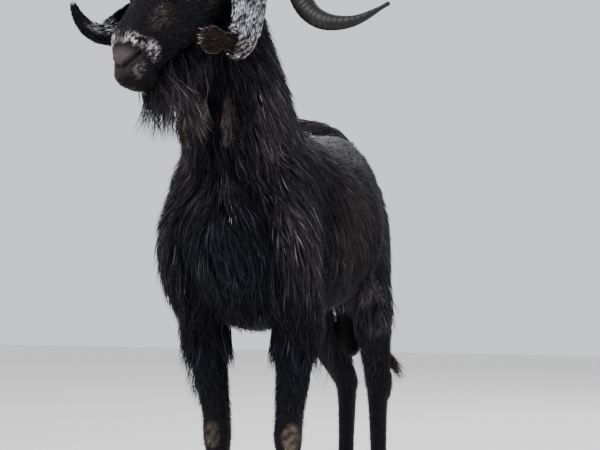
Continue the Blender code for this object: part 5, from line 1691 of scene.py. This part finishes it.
def region_weights(surface, region, names):
    """How densely each face of a region carries tufts."""
    weights = (names == region).astype(float)
    if region == "head":
        head = in_head_frame(surface["centres"])
        bare = np.minimum(1.0, 2.0 * spot(head, *NOSE_PAD))
        weights *= (1.0 - bare) * (0.4 + soft_step(head[:, 0], *FACE_DENSER))
        for _, sign in SIDES:
            eye = spot(head, (EYE_ALONG, sign * BARE_EYE_SIDE, EYE_UP), BARE_EYE)
            weights *= 1.0 - np.minimum(1.0, 3.0 * eye)
            for point, side, _, _, _ in horn_rings(sign)[1:HORN_CUT_STEP + 1]:
                gap = np.linalg.norm(surface["centres"] - np.array(point), axis=1)
                weights *= gap > side.length + HORN_BARE
    if region == "legs":
        weights *= 0.45 + soft_step(surface["centres"][:, 2], *LEG_DENSER)
    return weights


def build_coat(skin, tree, material):
    """The coat of every region, in two pieces each."""
    surface = surface_of(skin)
    names = region_of(surface["centres"])
    for number, (region, sizes) in enumerate(REGIONS.items()):
        count, length, width, lift, hang, painted_highlights = sizes
        shape = LONG_TUFT if region in ("neck", "chest") else SHORT_TUFT
        draw = np.random.default_rng(SEED + number)
        roots, normals, _ = sample(surface, region_weights(surface, region, names), count,
                                   draw)
        factors = length_factor(roots, normals, region)
        leaders = np.arange(0, count, CLUMP_SIZE)
        leader_paths = []
        for index in leaders:
            root, normal = Vector(roots[index]), Vector(normals[index])
            lie = lie_of(root, normal, region) + Vector(draw.normal(size=3)) * LIE_SPREAD
            path = lock_path(tree, root, normal, lie, length * factors[index],
                             lift * (0.4 + 0.6 * factors[index]), hang, shape)
            leader_paths.append([tuple(point) for point in path])
        lengths = draw.uniform(*LENGTH_SPREAD, count)
        paths = clumped(roots, normals, leaders, np.array(leader_paths), lengths, lift,
                        length * CLUMP_STRAY, draw, shape)
        widths = (width * draw.uniform(*WIDTH_SPREAD, count)
                  * (0.45 + 0.55 * np.minimum(1, factors)))
        # The coat's markings, with painted highlights on a share of the tufts
        colours = tuft_tones(markings(roots), draw, painted_highlights)
        places = unwrapped(roots, *MAP_AXES[region])
        half = count // 2
        for part, start in enumerate(range(0, count, half)):
            chosen = slice(start, start + half)
            tuft_mesh(f"coat_{region}_{part + 1}", paths[chosen], normals[chosen],
                      widths[chosen], colours[chosen], places[chosen], material,
                      shape)


def hanging_tufts(name, tree, groups, material):
    """Tufts that leave the skin and hang free: beards, wattles, tail and fringes."""
    draw = np.random.default_rng(SEED + len(name))
    shares = LONG_TUFT[0]
    out, less_out = HANG_OUT
    paths, normals, widths, colours = [], [], [], []
    for centre, radii, count, length, width, fall, colour in groups:
        for _ in range(count):
            way = Vector(draw.normal(size=3)).normalized()
            offset = Vector([value * reach for value, reach in zip(way, radii)])
            root, normal = tree.find_nearest(Vector(centre) + offset)[:2]
            lie = Vector(fall) + Vector(draw.normal(size=3)) * HANG_SPREAD
            curl = Vector(draw.normal(size=3)) * HANG_CURL
            own = length * draw.uniform(*HANG_LENGTHS)
            path = [root - normal * TUFT_SINK]
            for step, (before, after) in enumerate(zip(shares, shares[1:])):
                go = (lie + normal * (out - less_out * step) + curl * step).normalized()
                path.append(path[-1] + go * own * (after - before))
            paths.append([tuple(point) for point in path])
            normals.append(tuple(normal))
            widths.append(width * draw.uniform(*HANG_WIDTHS))
            colours.append(colour)
    paths, normals = np.array(paths), np.array(normals)
    # Painted highlights on a share of the hanging tufts
    colours = tuft_tones(np.array(colours), draw, HANG_HIGHLIGHTS)
    places = unwrapped(paths[:, 0], paths[:, 0].mean(axis=0), (0.0, 0.0, 1.0))
    tuft_mesh(name, paths, normals, np.array(widths), colours, places, material,
              LONG_TUFT)


def build_long_hair(tree, material):
    """Beard, forelock, wattle hair, tail, sheath fringe and the tufts on the body."""
    groups = [(head_point(*place), *rest) for place, *rest in HEAD_TUFTS]
    for along, sides, length in BEARD_ROWS:
        for side in sides:
            groups.append((head_point(along, side, BEARD_RISE), (0.010, 0.010, 0.006),
                           BEARD_TUFTS, length * BEARD_STRETCH, 0.0013, STRAIGHT_DOWN,
                           DARK_GREY))
    hanging_tufts("beard_and_forelock", tree, groups, material)
    groups = list(BODY_TUFTS)
    for _, sign in SIDES:
        for (x, y, z), _, _ in WATTLE[2:]:
            groups.append(((x * sign, y, z), (0.010, 0.010, 0.014), WATTLE_TUFTS, 0.020,
                           0.0011, STRAIGHT_DOWN, WATTLE_TAN))
    # Tail hair in dust grey with painted sheen
    for place, _ in TAIL[2:]:
        groups.append((place, (0.02, 0.02, 0.02), TAIL_TUFTS, 0.050, 0.0020,
                       (-0.9, -0.5, -0.25), DUST_AND_SHEEN_GREY))
    for place, _, _ in SHEATH[1:]:
        groups.append((place, (0.014, 0.018, 0.014), SHEATH_TUFTS, 0.050, 0.0014,
                       (0.0, -0.15, -1.0), BLACK_COAT))
    hanging_tufts("wattles_tail_and_fringes", tree, groups, material)


def build_ear_hair(piece, marks, side_name, material):
    """Short hair over an ear, in the ear's own marks."""
    surface = surface_of(piece)
    draw = np.random.default_rng(SEED + len(side_name))
    count = EAR_TUFTS // 1
    roots, normals, triangles = sample(surface, np.ones(len(surface["areas"])), count, draw)
    line = EAR_LEFT if side_name == "left" else EAR_RIGHT
    ways = np.array([tuple(way) for way in path_tangents([Vector(row[0]) for row in line])])
    spots = np.array([row[0] for row in line])
    nearest = np.argmin(np.linalg.norm(roots[:, None] - spots[None], axis=2), axis=1)
    lie = ways[nearest] + draw.normal(size=(count, 3)) * EAR_HAIR_STRAY
    lie -= normals * (lie * normals).sum(axis=1)[:, None]
    lie /= np.linalg.norm(lie, axis=1)[:, None]
    length = draw.uniform(*EAR_HAIR_LENGTH, count)[:, None, None]
    steps = np.array(SHORT_TUFT[0])[None, :, None]
    rising = lie[:, None] + normals[:, None] * EAR_HAIR_LIFT
    paths = roots[:, None] + rising * length * steps
    # The ear's marks, with painted highlights on a share of the tufts
    tones = tuft_tones(ear_colours(roots, marks[triangles[:, 0]]), draw, EAR_HAIR_HIGHLIGHTS)
    places = unwrapped(roots, spots[3], spots[5] - spots[2])
    tuft_mesh(f"ear_hair_{side_name}", paths, normals, np.full(count, EAR_HAIR_WIDTH), tones,
              places, material, SHORT_TUFT)


def build_stage():
    """A pale floor, soft studio lights and the camera of the photograph."""
    bm = bmesh.new()
    bmesh.ops.create_grid(bm, x_segments=1, y_segments=1, size=FLOOR_SIZE)
    mesh = bpy.data.meshes.new("floor")
    bm.to_mesh(mesh)
    bm.free()
    mesh.materials.append(floor_material())
    ground = linked("floor", mesh)
    world = bpy.data.worlds.new("soft studio")
    bpy.context.scene.world = world
    world.use_nodes = True
    background = world.node_tree.nodes["Background"]
    background.inputs["Color"].default_value = SKY_COLOUR
    background.inputs["Strength"].default_value = SKY_STRENGTH
    for name, place, size, power, colour in LIGHTS:
        data = bpy.data.lights.new(name, "AREA")
        data.size = size
        data.energy = power
        data.color = colour
        lamp = linked(name, data)
        lamp.location = place
        aim = LIGHTS_AIM - Vector(place)
        lamp.rotation_euler = aim.to_track_quat("-Z", "Y").to_euler()
    data = bpy.data.cameras.new("camera")
    data.lens = CAMERA_LENS
    data.sensor_width = CAMERA_SENSOR
    camera = linked("camera", data)
    camera.location = Vector(CAMERA_PLACE) + CENTRE_SHIFT
    turn, pitch = math.radians(CAMERA_TURN), math.radians(CAMERA_PITCH)
    look = Vector((-math.sin(turn) * math.cos(pitch), math.cos(turn) * math.cos(pitch),
                   math.sin(pitch)))
    camera.rotation_euler = look.to_track_quat("-Z", "Y").to_euler()
    bpy.context.scene.camera = camera


def build():
    """Every piece of the goat, and the studio round it."""
    build_stage()
    skin, tree, eyes = build_skin()
    bare, hair = skin.data.materials[0], hair_material("hair", 0.40)
    horn, hoof, eye = horn_material(), hoof_material(), eye_material()
    for side_name, sign in SIDES:
        build_horn(side_name, sign, horn)
        build_eye(side_name, *eyes[sign], eye, bare)
        ear, marks = build_ear(side_name, sign, bare)
        build_ear_hair(ear, marks, side_name, hair)
        for kind in ("foreleg", "hindleg"):
            for which in (1, -1):
                build_claw(kind, side_name, sign, which, hoof)
    build_coat(skin, tree, hair)
    build_long_hair(tree, hair)


build()
